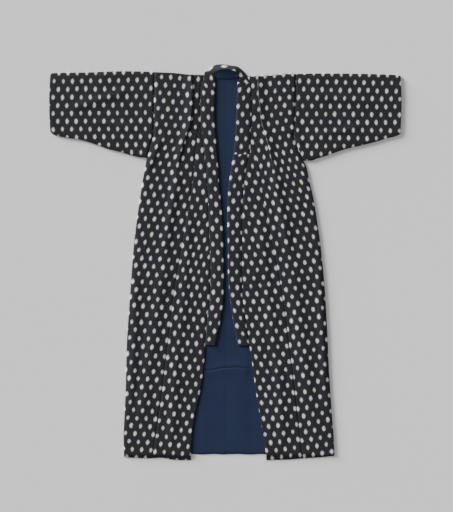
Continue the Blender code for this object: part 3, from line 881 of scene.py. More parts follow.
def kasuri_group() -> bpy.types.NodeTree:
    """Build the resist-dyed dot: a staggered lattice of ovals whose ends feather along the warp.

    Returns:
        A group from cloth coordinates to a mask, a tone for each dot and a mask of the cream dots.
    """
    group, n = new_group(
        "resist dots",
        {"Cloth": "NodeSocketVector", "Feather": "NodeSocketFloat"},
        {"Mask": "NodeSocketFloat", "Tone": "NodeSocketFloat", "Cream": "NodeSocketFloat"},
    )
    start = n.add("NodeGroupInput")
    end = n.add("NodeGroupOutput")
    cloth = start.outputs["Cloth"]
    size = n.vector("MULTIPLY", cloth, (DOT_COLUMN, DOT_ROWS, 0.0))
    threads = n.vector("MULTIPLY", size, (1.9, 0.22, 1.0))
    streak = n.noise(threads, 1.0, 2.0, 0.6)
    wander = n.noise(size, 0.13, 2.0)
    masks = []
    tones = []
    creams = []
    for shift in (0.0, 0.5):
        moved = n.vector("ADD", cloth, (0.5 + shift, 0.5 + shift, 0.0))
        cell = n.vector("FLOOR", moved)
        off = n.vector("SUBTRACT", n.vector("SUBTRACT", moved, cell), (0.5, 0.5, 0.0))
        salted = n.vector("ADD", cell, (3.7 + 9.1 * shift, 1.3 + 4.3 * shift, 0.0))
        chance = n.add("ShaderNodeTexWhiteNoise", noise_dimensions="3D")
        n.link(salted, chance.inputs["Vector"])
        parts = n.add("ShaderNodeSeparateColor")
        n.link(chance.outputs["Color"], parts.inputs[0])
        split = n.add("ShaderNodeSeparateXYZ")
        n.link(off, split.inputs[0])
        jitter = n.math("MULTIPLY_ADD", parts.outputs[0], DOT_JITTER, -DOT_JITTER / 2)
        slide = n.math("MULTIPLY_ADD", parts.outputs[1], DOT_SLIDE, -DOT_SLIDE / 2)
        wide = n.math("DIVIDE", n.math("MULTIPLY_ADD", split.outputs[0], DOT_COLUMN, jitter), DOT_WIDE / 2)
        tall = n.math("DIVIDE", n.math("MULTIPLY_ADD", split.outputs[1], DOT_ROWS, slide), DOT_TALL / 2)
        grown = n.math("MULTIPLY_ADD", parts.outputs[2], DOT_GROWTH, DOT_LEAST)
        wide = n.math("POWER", n.math("ABSOLUTE", wide), DOT_SQUARENESS)
        tall = n.math("POWER", n.math("ABSOLUTE", tall), DOT_SQUARENESS)
        far = n.math("POWER", n.math("ADD", wide, tall), 1 / DOT_SQUARENESS)
        far = n.math("DIVIDE", far, grown)
        ragged = n.math("MULTIPLY", n.math("SUBTRACT", streak, 0.5), start.outputs["Feather"])
        far = n.math("ADD", far, ragged)
        far = n.math("ADD", far, n.math("MULTIPLY", n.math("SUBTRACT", wander, 0.5), DOT_WANDER))
        masks.append(n.math("SUBTRACT", 1.0, n.ramp(far, DOT_CORE, DOT_RIM)))
        tones.append(n.math("MULTIPLY", masks[-1], parts.outputs[2]))
        creams.append(n.math("MULTIPLY", masks[-1], n.math("GREATER_THAN", parts.outputs[0], CREAM_ABOVE)))
    n.link(n.math("MAXIMUM", *masks), end.inputs["Mask"])
    n.link(n.math("MAXIMUM", *tones), end.inputs["Tone"])
    n.link(n.math("MAXIMUM", *creams), end.inputs["Cream"])
    return group


def weave_group() -> bpy.types.NodeTree:
    """Build plain weave: warp and weft threads that cross over and under, with slubs.

    Returns:
        A group from cloth places in millimetres to a height, a thread tone and a slow shade.
    """
    group, n = new_group(
        "plain weave",
        {"Place": "NodeSocketVector", "Pitch": "NodeSocketFloat"},
        {"Height": "NodeSocketFloat", "Thread": "NodeSocketFloat", "Shade": "NodeSocketFloat"},
    )
    start = n.add("NodeGroupInput")
    end = n.add("NodeGroupOutput")
    spot = start.outputs["Place"]
    split = n.add("ShaderNodeSeparateXYZ")
    n.link(spot, split.inputs[0])
    turn = n.math("DIVIDE", math.pi, start.outputs["Pitch"])
    warp = n.math("SINE", n.math("MULTIPLY", split.outputs[0], turn))
    weft = n.math("SINE", n.math("MULTIPLY", split.outputs[1], turn))
    over = n.math("MULTIPLY", warp, weft)
    rounds = []
    for socket in (split.outputs[0], split.outputs[1]):
        wave = n.math("COSINE", n.math("MULTIPLY", socket, turn))
        rounds.append(n.math("SUBTRACT", 1.0, n.math("ABSOLUTE", wave)))
    swells = n.math("MULTIPLY", n.math("ADD", *rounds), 0.3)
    height = n.math("ADD", n.math("MULTIPLY", over, 0.35), swells)
    long_warp = n.noise(n.vector("MULTIPLY", spot, (1.6, 0.035, 1.0)), 1.0, 3.0, 0.6)
    long_weft = n.noise(n.vector("MULTIPLY", spot, (0.035, 1.6, 1.0)), 1.0, 3.0, 0.6)
    thread = n.math("ADD", n.math("MULTIPLY", long_warp, 0.6), n.math("MULTIPLY", long_weft, 0.4))
    n.link(n.math("ADD", height, n.math("MULTIPLY", thread, 0.5)), end.inputs["Height"])
    n.link(thread, end.inputs["Thread"])
    n.link(n.noise(spot, 0.011, 3.0, 0.55), end.inputs["Shade"])
    return group


@dataclass(frozen=True)
class Cotton:
    """A cotton finish: its dyes, its dots and its threads."""

    name: str
    dye: tuple[float, float, float]
    deep: tuple[float, float, float]
    light: tuple[float, float, float]
    pitch: float = 0.9
    rough: float = 0.9
    bump: float = 0.35
    dotted: bool = False
    dot: tuple[float, float, float] = (0.68, 0.68, 0.68)
    cream: tuple[float, float, float] = (0.62, 0.60, 0.46)
    feather: float = 0.42
    dull_share: float = 0.74
    cream_share: float = 0.8
    inked_share: float = 0.55
    bump_depth: float = 0.0003

    def material(self, groups: dict[str, bpy.types.NodeTree]) -> bpy.types.Material:
        """Make the material.

        Args:
            groups: The shared shader groups by name.

        Returns:
            The new material.
        """
        made = bpy.data.materials.new(self.name)
        made.use_nodes = True
        n = Nodes(made.node_tree)
        shader = made.node_tree.nodes["Principled BSDF"]
        shader.inputs["Metallic"].default_value = 0.0
        shader.inputs["Specular IOR Level"].default_value = 0.18
        shader.inputs["Sheen Weight"].default_value = 0.05
        shader.inputs["Sheen Roughness"].default_value = 0.6
        cloth = n.add("ShaderNodeUVMap", uv_map="cloth").outputs["UV"]
        spot = n.vector("MULTIPLY", cloth, (DOT_COLUMN, DOT_ROWS, 0.0))
        weave = n.add("ShaderNodeGroup", node_tree=groups["weave"])
        n.link(spot, weave.inputs["Place"])
        weave.inputs["Pitch"].default_value = self.pitch
        colour = n.mix(weave.outputs["Shade"], (*self.dye, 1.0), (*self.deep, 1.0))
        lift = n.math("MULTIPLY", n.ramp(weave.outputs["Thread"], 0.42, 0.72), 0.55)
        colour = n.mix(lift, colour, (*self.light, 1.0))
        if self.dotted:
            dots = n.add("ShaderNodeGroup", node_tree=groups["dots"])
            n.link(cloth, dots.inputs["Cloth"])
            dots.inputs["Feather"].default_value = self.feather
            dim = (*[part * self.dull_share for part in self.dot], 1.0)
            inky = (*[part * self.inked_share for part in self.dot], 1.0)
            dull = n.mix(dots.outputs["Tone"], dim, (*self.dot, 1.0))
            creamy = n.math("MULTIPLY", dots.outputs["Cream"], self.cream_share)
            dull = n.mix(creamy, dull, (*self.cream, 1.0))
            inked = n.math("MULTIPLY", n.ramp(weave.outputs["Thread"], 0.52, 0.80), 0.35)
            dull = n.mix(inked, dull, inky)
            colour = n.mix(dots.outputs["Mask"], colour, dull)
        n.link(colour, shader.inputs["Base Color"])
        rough = n.math("MULTIPLY_ADD", weave.outputs["Shade"], 0.08, self.rough - 0.04)
        n.link(rough, shader.inputs["Roughness"])
        bump = n.add("ShaderNodeBump")
        bump.inputs["Strength"].default_value = self.bump
        bump.inputs["Distance"].default_value = self.bump_depth
        n.link(weave.outputs["Height"], bump.inputs["Height"])
        n.link(bump.outputs["Normal"], shader.inputs["Normal"])
        return made


DOTTED = Cotton(
    "dotted_cotton", (0.0126, 0.0131, 0.0176), (0.0080, 0.0085, 0.0125), (0.044, 0.045, 0.055), dotted=True
)
INDIGO = Cotton(
    "indigo_lining", (0.0091, 0.0178, 0.0505), (0.0071, 0.0142, 0.0415), (0.019, 0.035, 0.088), pitch=0.8
)
FACING = Cotton(
    "plain_navy_facing", (0.0172, 0.0282, 0.0680), (0.0141, 0.0234, 0.0575), (0.028, 0.045, 0.098), pitch=0.8
)

NAVY_THREAD = Cotton(
    "navy_thread", (0.030, 0.032, 0.042), (0.022, 0.024, 0.032), (0.050, 0.052, 0.065), pitch=0.3
)
INDIGO_THREAD = Cotton(
    "indigo_thread", (0.022, 0.040, 0.085), (0.018, 0.033, 0.070), (0.036, 0.060, 0.120), pitch=0.3
)


@dataclass
class Body:
    """One body panel: the front, its shoulder fold and the back, in one length of cloth."""

    half: Half
    neck_columns: int = 14
    run_columns: int = 9
    side_columns: int = 18
    roll_columns: int = 9
    under_columns: int = 5
    row_step: float = 5.0

    def front_places(self, down: np.ndarray, okumi: np.ndarray) -> tuple[np.ndarray, np.ndarray, np.ndarray]:
        """Return the section of the front at each distance down.

        Args:
            down: One distance for each row.
            okumi: The panel's inner edge at each row.

        Returns:
            Places across, heights, and 0 or 1 past the tuck, rows by columns.
        """
        half = self.half
        side, tuck = half.edges["side"](down), half.edges["tuck"](down)
        wrap = smooth((down - half.underarm) / WRAP_RUN)
        side = np.where(down < half.underarm, half.seam(down), side)
        last = side - SIDE_ROLL - CLOTH / 2
        edge = okumi + SEAM_GAP / 2
        near = np.linspace(0.0, 1.0, self.neck_columns) ** 0.9
        columns = [edge + (tuck - 2.2 - edge) * share for share in near]
        past = [0.0] * self.neck_columns
        for off in TUCK_STEPS:
            columns.append(tuck + off)
            past.append(1.0 if off > 0.0 else 0.0)
        for share in np.linspace(0.1, 1.0, self.run_columns):
            columns.append(tuck + TUCK_RUN * share)
            past.append(1.0)
        for share in np.linspace(0.0, 1.0, self.side_columns + 1)[1:]:
            columns.append(tuck + TUCK_RUN + (last - tuck - TUCK_RUN) * share)
            past.append(1.0)
        flat = np.stack(columns, axis=1)
        away = np.array(past)[None, :] * np.ones_like(flat)
        rows = down[:, None]
        height = FRONT_MIDDLE + half.relief(flat, rows) * smooth((side[:, None] - flat) / 14.0)
        fade = smooth((TUCK_END - rows) / TUCK_FADE)
        from_tuck = flat - tuck[:, None]
        step = smooth((from_tuck + 1.0) / 2.0) * np.clip(1.0 - from_tuck / TUCK_RUN, 0.0, 1.0) ** 1.3
        height = height + TUCK_RISE * fade * np.where(from_tuck > -1.0, step, 0.0)
        ditch = np.exp(-(((flat - edge[:, None]) / DITCH_WIDE) ** 2))
        height = height - SEAM_DITCH * ditch
        armhole = (1.0 - wrap)[:, None] * np.exp(-(((side[:, None] - flat) / ARMHOLE_WIDE) ** 2))
        height = height - SEAM_DITCH * armhole
        middle = (FRONT_MIDDLE + BACK_MIDDLE) / 2
        tall = (FRONT_MIDDLE - BACK_MIDDLE) / 2
        spread = (side - SEAM_GAP / 2 - last) / (self.roll_columns + self.under_columns)
        level = FRONT_MIDDLE - 0.5 * (1 - wrap)
        folded = []
        raised = []
        angles = np.linspace(75.0, -90.0, self.roll_columns)
        for index, angle in enumerate(angles):
            turn = math.radians(angle)
            straight = last + (index + 1) * spread
            folded.append(straight + wrap * (last + SIDE_ROLL * math.cos(turn) - straight))
            raised.append(level + wrap * (middle + tall * math.sin(turn) - FRONT_MIDDLE))
        for index in range(self.under_columns):
            share = (index + 1) / self.under_columns
            straight = last + (self.roll_columns + index + 1) * spread
            turned = last - share * (TURN_UNDER - SIDE_ROLL - CLOTH / 2)
            folded.append(straight + wrap * (turned - straight))
            raised.append(level + wrap * (BACK_MIDDLE - FRONT_MIDDLE))
        across = np.concatenate([flat, np.stack(folded, axis=1)], axis=1)
        height = np.concatenate([height, np.stack(raised, axis=1)], axis=1)
        away = np.concatenate([away, np.ones((len(down), self.roll_columns + self.under_columns))], axis=1)
        return across, height, away

    def middle_surface(self) -> tuple[np.ndarray, np.ndarray]:
        """Return the panel's middle surface, from the front hem over the shoulder to the back hem.

        Returns:
            The grid of places, and the cloth coordinates.
        """
        half = self.half
        top = float(FRONTS[half.hand][0].down)
        downs = np.arange(BACK_HEM, top, -self.row_step)
        across, height, away = self.front_places(downs, half.edges["okumi"](downs))
        rows = [np.stack([across, np.broadcast_to(downs[:, None], across.shape), height], axis=-1)]
        past = [away]
        falls = np.array(HEM_FALLS[::-1])
        hem_across, hem_height, hem_away = self.front_places(
            np.full(len(falls), BACK_HEM), np.full(len(falls), float(half.edges["okumi"](BACK_HEM)))
        )
        lowest = half.hem(hem_across)
        hem_down = BACK_HEM + falls[:, None] * (lowest - BACK_HEM)
        drop = smooth(falls * HEM_DROP)[:, None]
        hem = np.stack([hem_across, hem_down, hem_height - drop * (hem_height - BACK_MIDDLE)], axis=-1)
        rows.insert(0, hem)
        past.insert(0, hem_away)
        last = rows[-1][-1]
        shares = np.linspace(0.0, 1.0, 9)[1:]
        section, high, away = self.front_places(np.array([top]), np.array([half.neck_across]))
        seam = half.seam_across
        start = section[0]
        roll = (FRONT_MIDDLE - BACK_MIDDLE) / 2
        centre = (FRONT_MIDDLE + BACK_MIDDLE) / 2
        fold = half.shoulder(np.clip(start, half.neck_across, seam)) + CLOTH / 2
        for share in shares:
            spot = last[:, 0] + share * (start - last[:, 0])
            down = last[:, 1] + share * (fold + roll - last[:, 1])
            bumped = last[:, 2] * (1 - share) + (FRONT_MIDDLE + (high[0] - FRONT_MIDDLE) * 0.8) * share
            rows.append(np.stack([spot, down, bumped], axis=-1)[None])
            past.append(away)
        top_height = rows[-1][0, :, 2]
        for angle in np.linspace(90.0, -90.0, 9)[1:]:
            turn = math.radians(angle)
            down = fold + roll * (1.0 - math.cos(turn))
            upper = centre + (top_height - centre) * math.sin(turn)
            height = upper if angle > 0 else centre + roll * math.sin(turn) * np.ones_like(fold)
            rows.append(np.stack([start, down, height], axis=-1)[None])
            past.append(away)
        count = across.shape[1]
        even = np.linspace(0.0, 1.0, count)
        fan = ((54.0, 9.5, 18.0), (34.0, 12.5, 34.0), (15.0, 14.5, 52.0), (SEAM_GAP / 2, NECK_DEPTH, 72.0))
        for inner, neck_down, side_down in fan:
            outer = float(half.seam(side_down)) - SEAM_GAP / 2
            spot = inner + even * (outer - inner)
            down = neck_down + even * (side_down - neck_down)
            rows.append(np.stack([spot, down, np.full(count, BACK_MIDDLE)], axis=-1)[None])
            past.append(np.ones((1, count)))
        for down in np.concatenate([np.arange(95.0, BACK_HEM - 10.0, 16.0), [BACK_HEM]]):
            turned = smooth((down - half.underarm) / WRAP_RUN) * (TURN_UNDER + 2 * SEAM_GAP)
            outer = float(half.seam(down) if down < half.underarm else half.edges["side"](down))
            outer -= SEAM_GAP / 2 + float(turned)
            spot = SEAM_GAP / 2 + even * (outer - SEAM_GAP / 2)
            waved = down + hem_wave(spot * half.hand.value, down)
            rows.append(np.stack([spot, waved, np.full(count, BACK_MIDDLE)], axis=-1)[None])
            past.append(np.ones((1, count)))
        middle = np.concatenate(rows)
        return middle, self.cloth(middle, np.concatenate(past), sum(len(part) for part in rows[:10]))

    def cloth(self, middle: np.ndarray, past: np.ndarray, front_rows: int) -> np.ndarray:
        """Return the cloth coordinates: the measured lattice in front, carried over the shoulder behind."""
        half = self.half
        lattice = Lattice(BODY_THREADS[half.hand], BODY_COLUMNS[half.hand])
        front = lattice(middle[:front_rows, :, 0], middle[:front_rows, :, 1], past[:front_rows])
        side = half.edges["side"](middle[:front_rows, :, 1])
        edge_place = side - SIDE_ROLL - CLOTH / 2
        first = self.neck_columns + len(TUCK_STEPS) + self.run_columns + self.side_columns
        at_edge = lattice(
            np.broadcast_to(edge_place[:, :1], edge_place.shape), middle[:front_rows, :, 1], past[:front_rows]
        )
        steps = np.linalg.norm(np.diff(middle[:front_rows], axis=1), axis=-1)
        walked = np.cumsum(np.concatenate([np.zeros((front_rows, 1)), steps], axis=1), axis=1)
        walked = (walked - walked[:, first - 1 : first]) / DOT_COLUMN
        front[:, first:, 0] = at_edge[:, first:, 0] + walked[:, first:]
        along = np.linalg.norm(np.diff(middle[front_rows - 1 :], axis=0), axis=-1)
        travelled = np.cumsum(along.mean(axis=1)) / DOT_ROWS
        back = np.empty((len(middle) - front_rows, middle.shape[1], 2))
        back[..., 0] = (middle[front_rows:, :, 0]) / DOT_COLUMN
        back[..., 1] = front[-1, :, 1].mean() - travelled[:, None]
        return np.concatenate([front, back])

    def build(self, finishes: list[bpy.types.Material]) -> bpy.types.Object:
        """Make the panel, hang it from the root and hide the solid that it replaces."""
        half = self.half
        middle, cloth = self.middle_surface()
        middle[..., 0] *= half.hand.value
        made = Shell(f"cloth_body_{half.side_word}", middle, cloth, CLOTH).build(finishes)
        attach(made, "root")
        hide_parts(f"body_{half.side_word}")
        return made


@dataclass
class Okumi:
    """One overlap panel, which tapers to a point under the collar."""

    half: Half
    start: float = 180.0
    columns: int = 34
    row_step: float = 5.0

    def build(self, finishes: list[bpy.types.Material]) -> bpy.types.Object:
        """Make the panel, hang it from the root and hide the solid that it replaces."""
        half = self.half
        level = np.arange(self.start, BACK_HEM, self.row_step)
        downs = np.concatenate([level, np.full(len(HEM_FALLS), BACK_HEM)])
        falls = np.concatenate([np.zeros(len(level)), HEM_FALLS])
        outer = half.edges["okumi"](downs) - SEAM_GAP / 2
        held = np.where(downs < COLLAR_FOOT[half.hand], SEAM_GAP / 2, 0.0)
        inner = half.edges["collar"](downs) + held
        shares = np.concatenate([[0.0, 0.012], np.linspace(0.04, 0.96, self.columns - 4), [0.988, 1.0]])
        across = outer[:, None] + shares[None, :] * (inner - outer)[:, None]
        down = downs[:, None] + falls[:, None] * (half.hem(across) - BACK_HEM)
        height = FRONT_MIDDLE + half.relief(across, down)
        height = height - SEAM_DITCH * np.exp(-(((outer[:, None] - across) / DITCH_WIDE) ** 2))
        free = smooth((downs[:, None] - COLLAR_FOOT[half.hand]) / 20.0)
        beside = np.exp(-(((across - inner[:, None]) / DITCH_WIDE) ** 2))
        height = height - SEAM_DITCH * (1.0 - free) * beside
        drop = smooth(falls * HEM_DROP)[:, None]
        height = height - drop * (height - BACK_MIDDLE)
        middle = np.stack([across, down, height], axis=-1)
        lattice = Lattice(OKUMI_THREADS[half.hand], OKUMI_COLUMNS[half.hand])
        cloth = lattice(across, down)
        middle[..., 0] *= half.hand.value
        made = Shell(f"cloth_okumi_{half.side_word}", middle, cloth, CLOTH).build(finishes)
        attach(made, "root")
        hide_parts(f"okumi_{half.side_word}")
        return made


@dataclass
class SleeveTube:
    """One sleeve: a flattened tube, folded at the top and sewn below."""

    half: Half
    stations: int = 74
    face_points: int = 46
    fold_points: int = 7

    def build(self, finishes: list[bpy.types.Material]) -> bpy.types.Object:
        """Make the sleeve, hang it from the root and hide the solid that it replaces."""
        half = self.half
        rings = SLEEVES[half.hand]
        outward = [ring.across for ring in reversed(rings)]
        top = Curve(outward, [ring.top for ring in reversed(rings)])
        under = Curve(outward, [ring.under for ring in reversed(rings)])
        cuff = rings[0].across
        start = rings[-1].across
        even = np.linspace(0.0, 1.0, self.stations)
        spacing = 1.0 - (1.0 - even) ** 1.25
        roll = (FRONT_MIDDLE - BACK_MIDDLE) / 2
        centre = (FRONT_MIDDLE + BACK_MIDDLE) / 2
        shares = np.linspace(0.0, 1.0, self.face_points)
        turns = np.radians(np.linspace(90.0, -90.0, self.fold_points + 2)[1:-1])
        grid = []
        for share in spacing:
            station = cuff + share * (start - cuff)
            high = float(top(station)) + CLOTH / 2 + roll
            low = float(under(station)) - CLOTH / 2 - roll
            downs = np.concatenate(
                [
                    high + shares * (low - high),
                    low + roll * np.cos(turns),
                    low + shares * (high - low),
                    high - roll * np.cos(turns),
                ]
            )
            heights = np.concatenate(
                [
                    np.full(self.face_points, centre + roll),
                    centre + roll * np.sin(turns),
                    np.full(self.face_points, centre - roll),
                    centre - roll * np.sin(turns),
                ]
            )
            seam = half.seam(np.clip(downs, 20.0, 300.0)) + SEAM_GAP / 2
            bow = 4.0 * np.sin(math.pi * np.clip(downs / 200.0, 0.0, 1.0)) * (1.0 - share) ** 3
            across = cuff + share * (seam - cuff) + bow
            faces_up = np.zeros(len(downs))
            upper = downs[: self.face_points]
            faces_up[: self.face_points] = smooth(np.minimum(upper - high, low - upper) / 12.0)
            lift = half.relief(across, downs) * faces_up
            beside = math.exp(-((((1.0 - share) * (cuff - start)) / ARMHOLE_WIDE) ** 2))
            lift = lift - SEAM_DITCH * faces_up * beside
            grid.append(np.stack([across, downs, heights + lift], axis=-1))
        middle = np.stack(grid)
        return self.wall(middle, finishes)

    def wall(self, middle: np.ndarray, finishes: list[bpy.types.Material]) -> bpy.types.Object:
        """Make the tube's wall from its closed rings.

        Args:
            middle: Stations by points round by 3.
            finishes: The outer and inner materials.

        Returns:
            The finished sleeve.
        """
        half = self.half
        stations, around = middle.shape[:2]
        lattice = Lattice(SLEEVE_THREADS[half.hand], SLEEVE_COLUMNS)
        cloth = lattice(middle[..., 0], middle[..., 1])
        seam_at = self.face_points + self.fold_points // 2
        ahead = np.roll(middle, -1, axis=1)
        walked = np.cumsum(np.linalg.norm(ahead - middle, axis=-1), axis=1) / DOT_ROWS
        behind = np.arange(around) >= seam_at
        cloth[..., 1] = np.where(behind, -(walked - walked[:, -1:]) + cloth[:, :1, 1] - 0.1, cloth[..., 1])
        middle = middle.copy()
        middle[..., 0] *= half.hand.value
        over = np.roll(middle, -1, axis=1) - np.roll(middle, 1, axis=1)
        along = np.gradient(middle, axis=0)
        normal = np.cross(along, over)
        normal /= np.linalg.norm(normal, axis=-1, keepdims=True)
        if normal[:, : self.face_points, 2].mean() < 0:
            normal = -normal
        taper = np.ones(stations)
        taper[0] = taper[-1] = EDGE_TAPER
        step = CLOTH / 2 * taper[:, None, None] * normal
        points = np.concatenate([(middle + step).reshape(-1, 3), (middle - step).reshape(-1, 3)])
        uv = np.concatenate([cloth.reshape(-1, 2)] * 2)
        grid = np.arange(stations * around).reshape(stations, around)
        after = np.roll(grid, -1, axis=1)
        quads = np.stack([grid[:-1], after[:-1], after[1:], grid[1:]], axis=-1).reshape(-1, 4)
        below = stations * around
        first = np.stack([after[0], grid[0], grid[0] + below, after[0] + below], axis=-1)
        final = np.stack([grid[-1], after[-1], after[-1] + below, grid[-1] + below], axis=-1)
        faces = np.concatenate([quads, quads[:, ::-1] + below, first, final])
        slots = np.concatenate([np.zeros(len(quads)), np.ones(len(quads)), np.zeros(2 * around)]).astype(int)
        made = add_mesh(f"cloth_sleeve_{half.side_word}", points, faces, slots, uv, finishes)
        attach(made, "root")
        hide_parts(f"sleeve_{half.side_word}")
        return made


@dataclass
class Lining:
    """One half of the back lining."""

    half: Half
    columns: int = 46
    row_step: float = 7.0
    swell: SoftNoise = field(default_factory=lambda: SoftNoise(7, 42.0, 130.0))
    pucker: SoftNoise = field(default_factory=lambda: SoftNoise(8, 60.0, 19.0))

    def build(self, finishes: list[bpy.types.Material]) -> bpy.types.Object:
        """Make the lining, hang it from the root and hide the solid that it replaces."""
        half = self.half
        hand = half.hand.value
        fine = np.arange(CREASE_DOWN - 22.0, CREASE_DOWN + 24.0, 1.5)
        coarse = np.arange(30.0, LINING_HEM, self.row_step)
        coarse = coarse[(coarse < fine[0] - 2) | (coarse > fine[-1] + 2)]
        downs = np.concatenate([[0.0], np.sort(np.concatenate([coarse, fine])), [LINING_HEM]])
        side = np.where(downs < half.underarm, half.seam(downs), half.edges["side"](downs))
        outer = side - TURN_UNDER - 9.0
        shares = np.concatenate([[0.0, 0.002, 0.006], np.linspace(0.015, 1.0, self.columns) ** 1.3])
        across = LINING_GAP / 2 + shares[None, :] * (outer - LINING_GAP / 2)[:, None]
        down = np.broadcast_to(downs[:, None], across.shape).copy()
        beside_neck = half.shoulder(np.maximum(across[0], half.neck_across)) + 7.0
        first = np.where(across[0] < half.neck_across, NECK_DEPTH - 4.0, beside_neck)
        down[0] = first
        down[1:4] = np.maximum(down[1:4], first + np.array([[3.0], [8.0], [16.0]]))
        bent = Curve([-120.0, -56.0, 24.0, 92.0, 140.0], [7.0, 5.5, -3.5, 1.5, 5.0])(across * hand)
        off = down - CREASE_DOWN - bent - 0.8 * np.sin(across * hand / 9.0)
        seen = smooth((90.0 - across) / 20.0)
        slope = np.where(off < 0.0, 26.0, 34.0)
        crease = 0.85 * smooth(np.abs(off) / 5.0) * smooth(1.0 - (np.abs(off) - 5.0) / slope)
        swell = 0.35 * (1 + self.swell(across * hand, down)) + 0.15 * (1 + self.pucker(across * hand, down))
        lift = (crease + swell) * seen
        ends = smooth((LINING_HEM - down) / 8.0)
        height = LINING_MIDDLE + np.clip(lift * ends, -0.3, 2.2)
        down = down + hem_wave(across * hand, down)
        middle = np.stack([across * hand, down, height], axis=-1)
        cloth = np.stack([across * hand / DOT_COLUMN + 3.0 * hand, down / DOT_ROWS], axis=-1)
        made = Shell(f"cloth_lining_{half.side_word}", middle, cloth, LINING_CLOTH, 1.0).build(finishes)
        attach(made, "root")
        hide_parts(f"lining_{half.side_word}")
        return made


# The section of the folded collar band: share across, share of its thickness.
BAND_SECTION = (
    (0.0, 0.30),
    (0.012, 0.12),
    (0.04, 0.0),
    (0.35, 0.0),
    (0.70, 0.0),
    (0.95, 0.0),
    (0.985, 0.10),
    (1.0, 0.34),
    (1.0, 0.62),
    (0.985, 0.86),
    (0.95, 0.98),
    (0.86, 1.03),
    (0.72, 1.04),
    (0.58, 1.03),
    (0.44, 1.02),
    (0.30, 0.99),
    (0.17, 0.92),
    (0.08, 0.82),
    (0.03, 0.68),
    (0.005, 0.50),
)


class Band(NamedTuple):
    """One section of the collar band, in the picture's own places."""

    outer: tuple[float, float]
    inner: tuple[float, float]
    outer_under: float
    inner_under: float


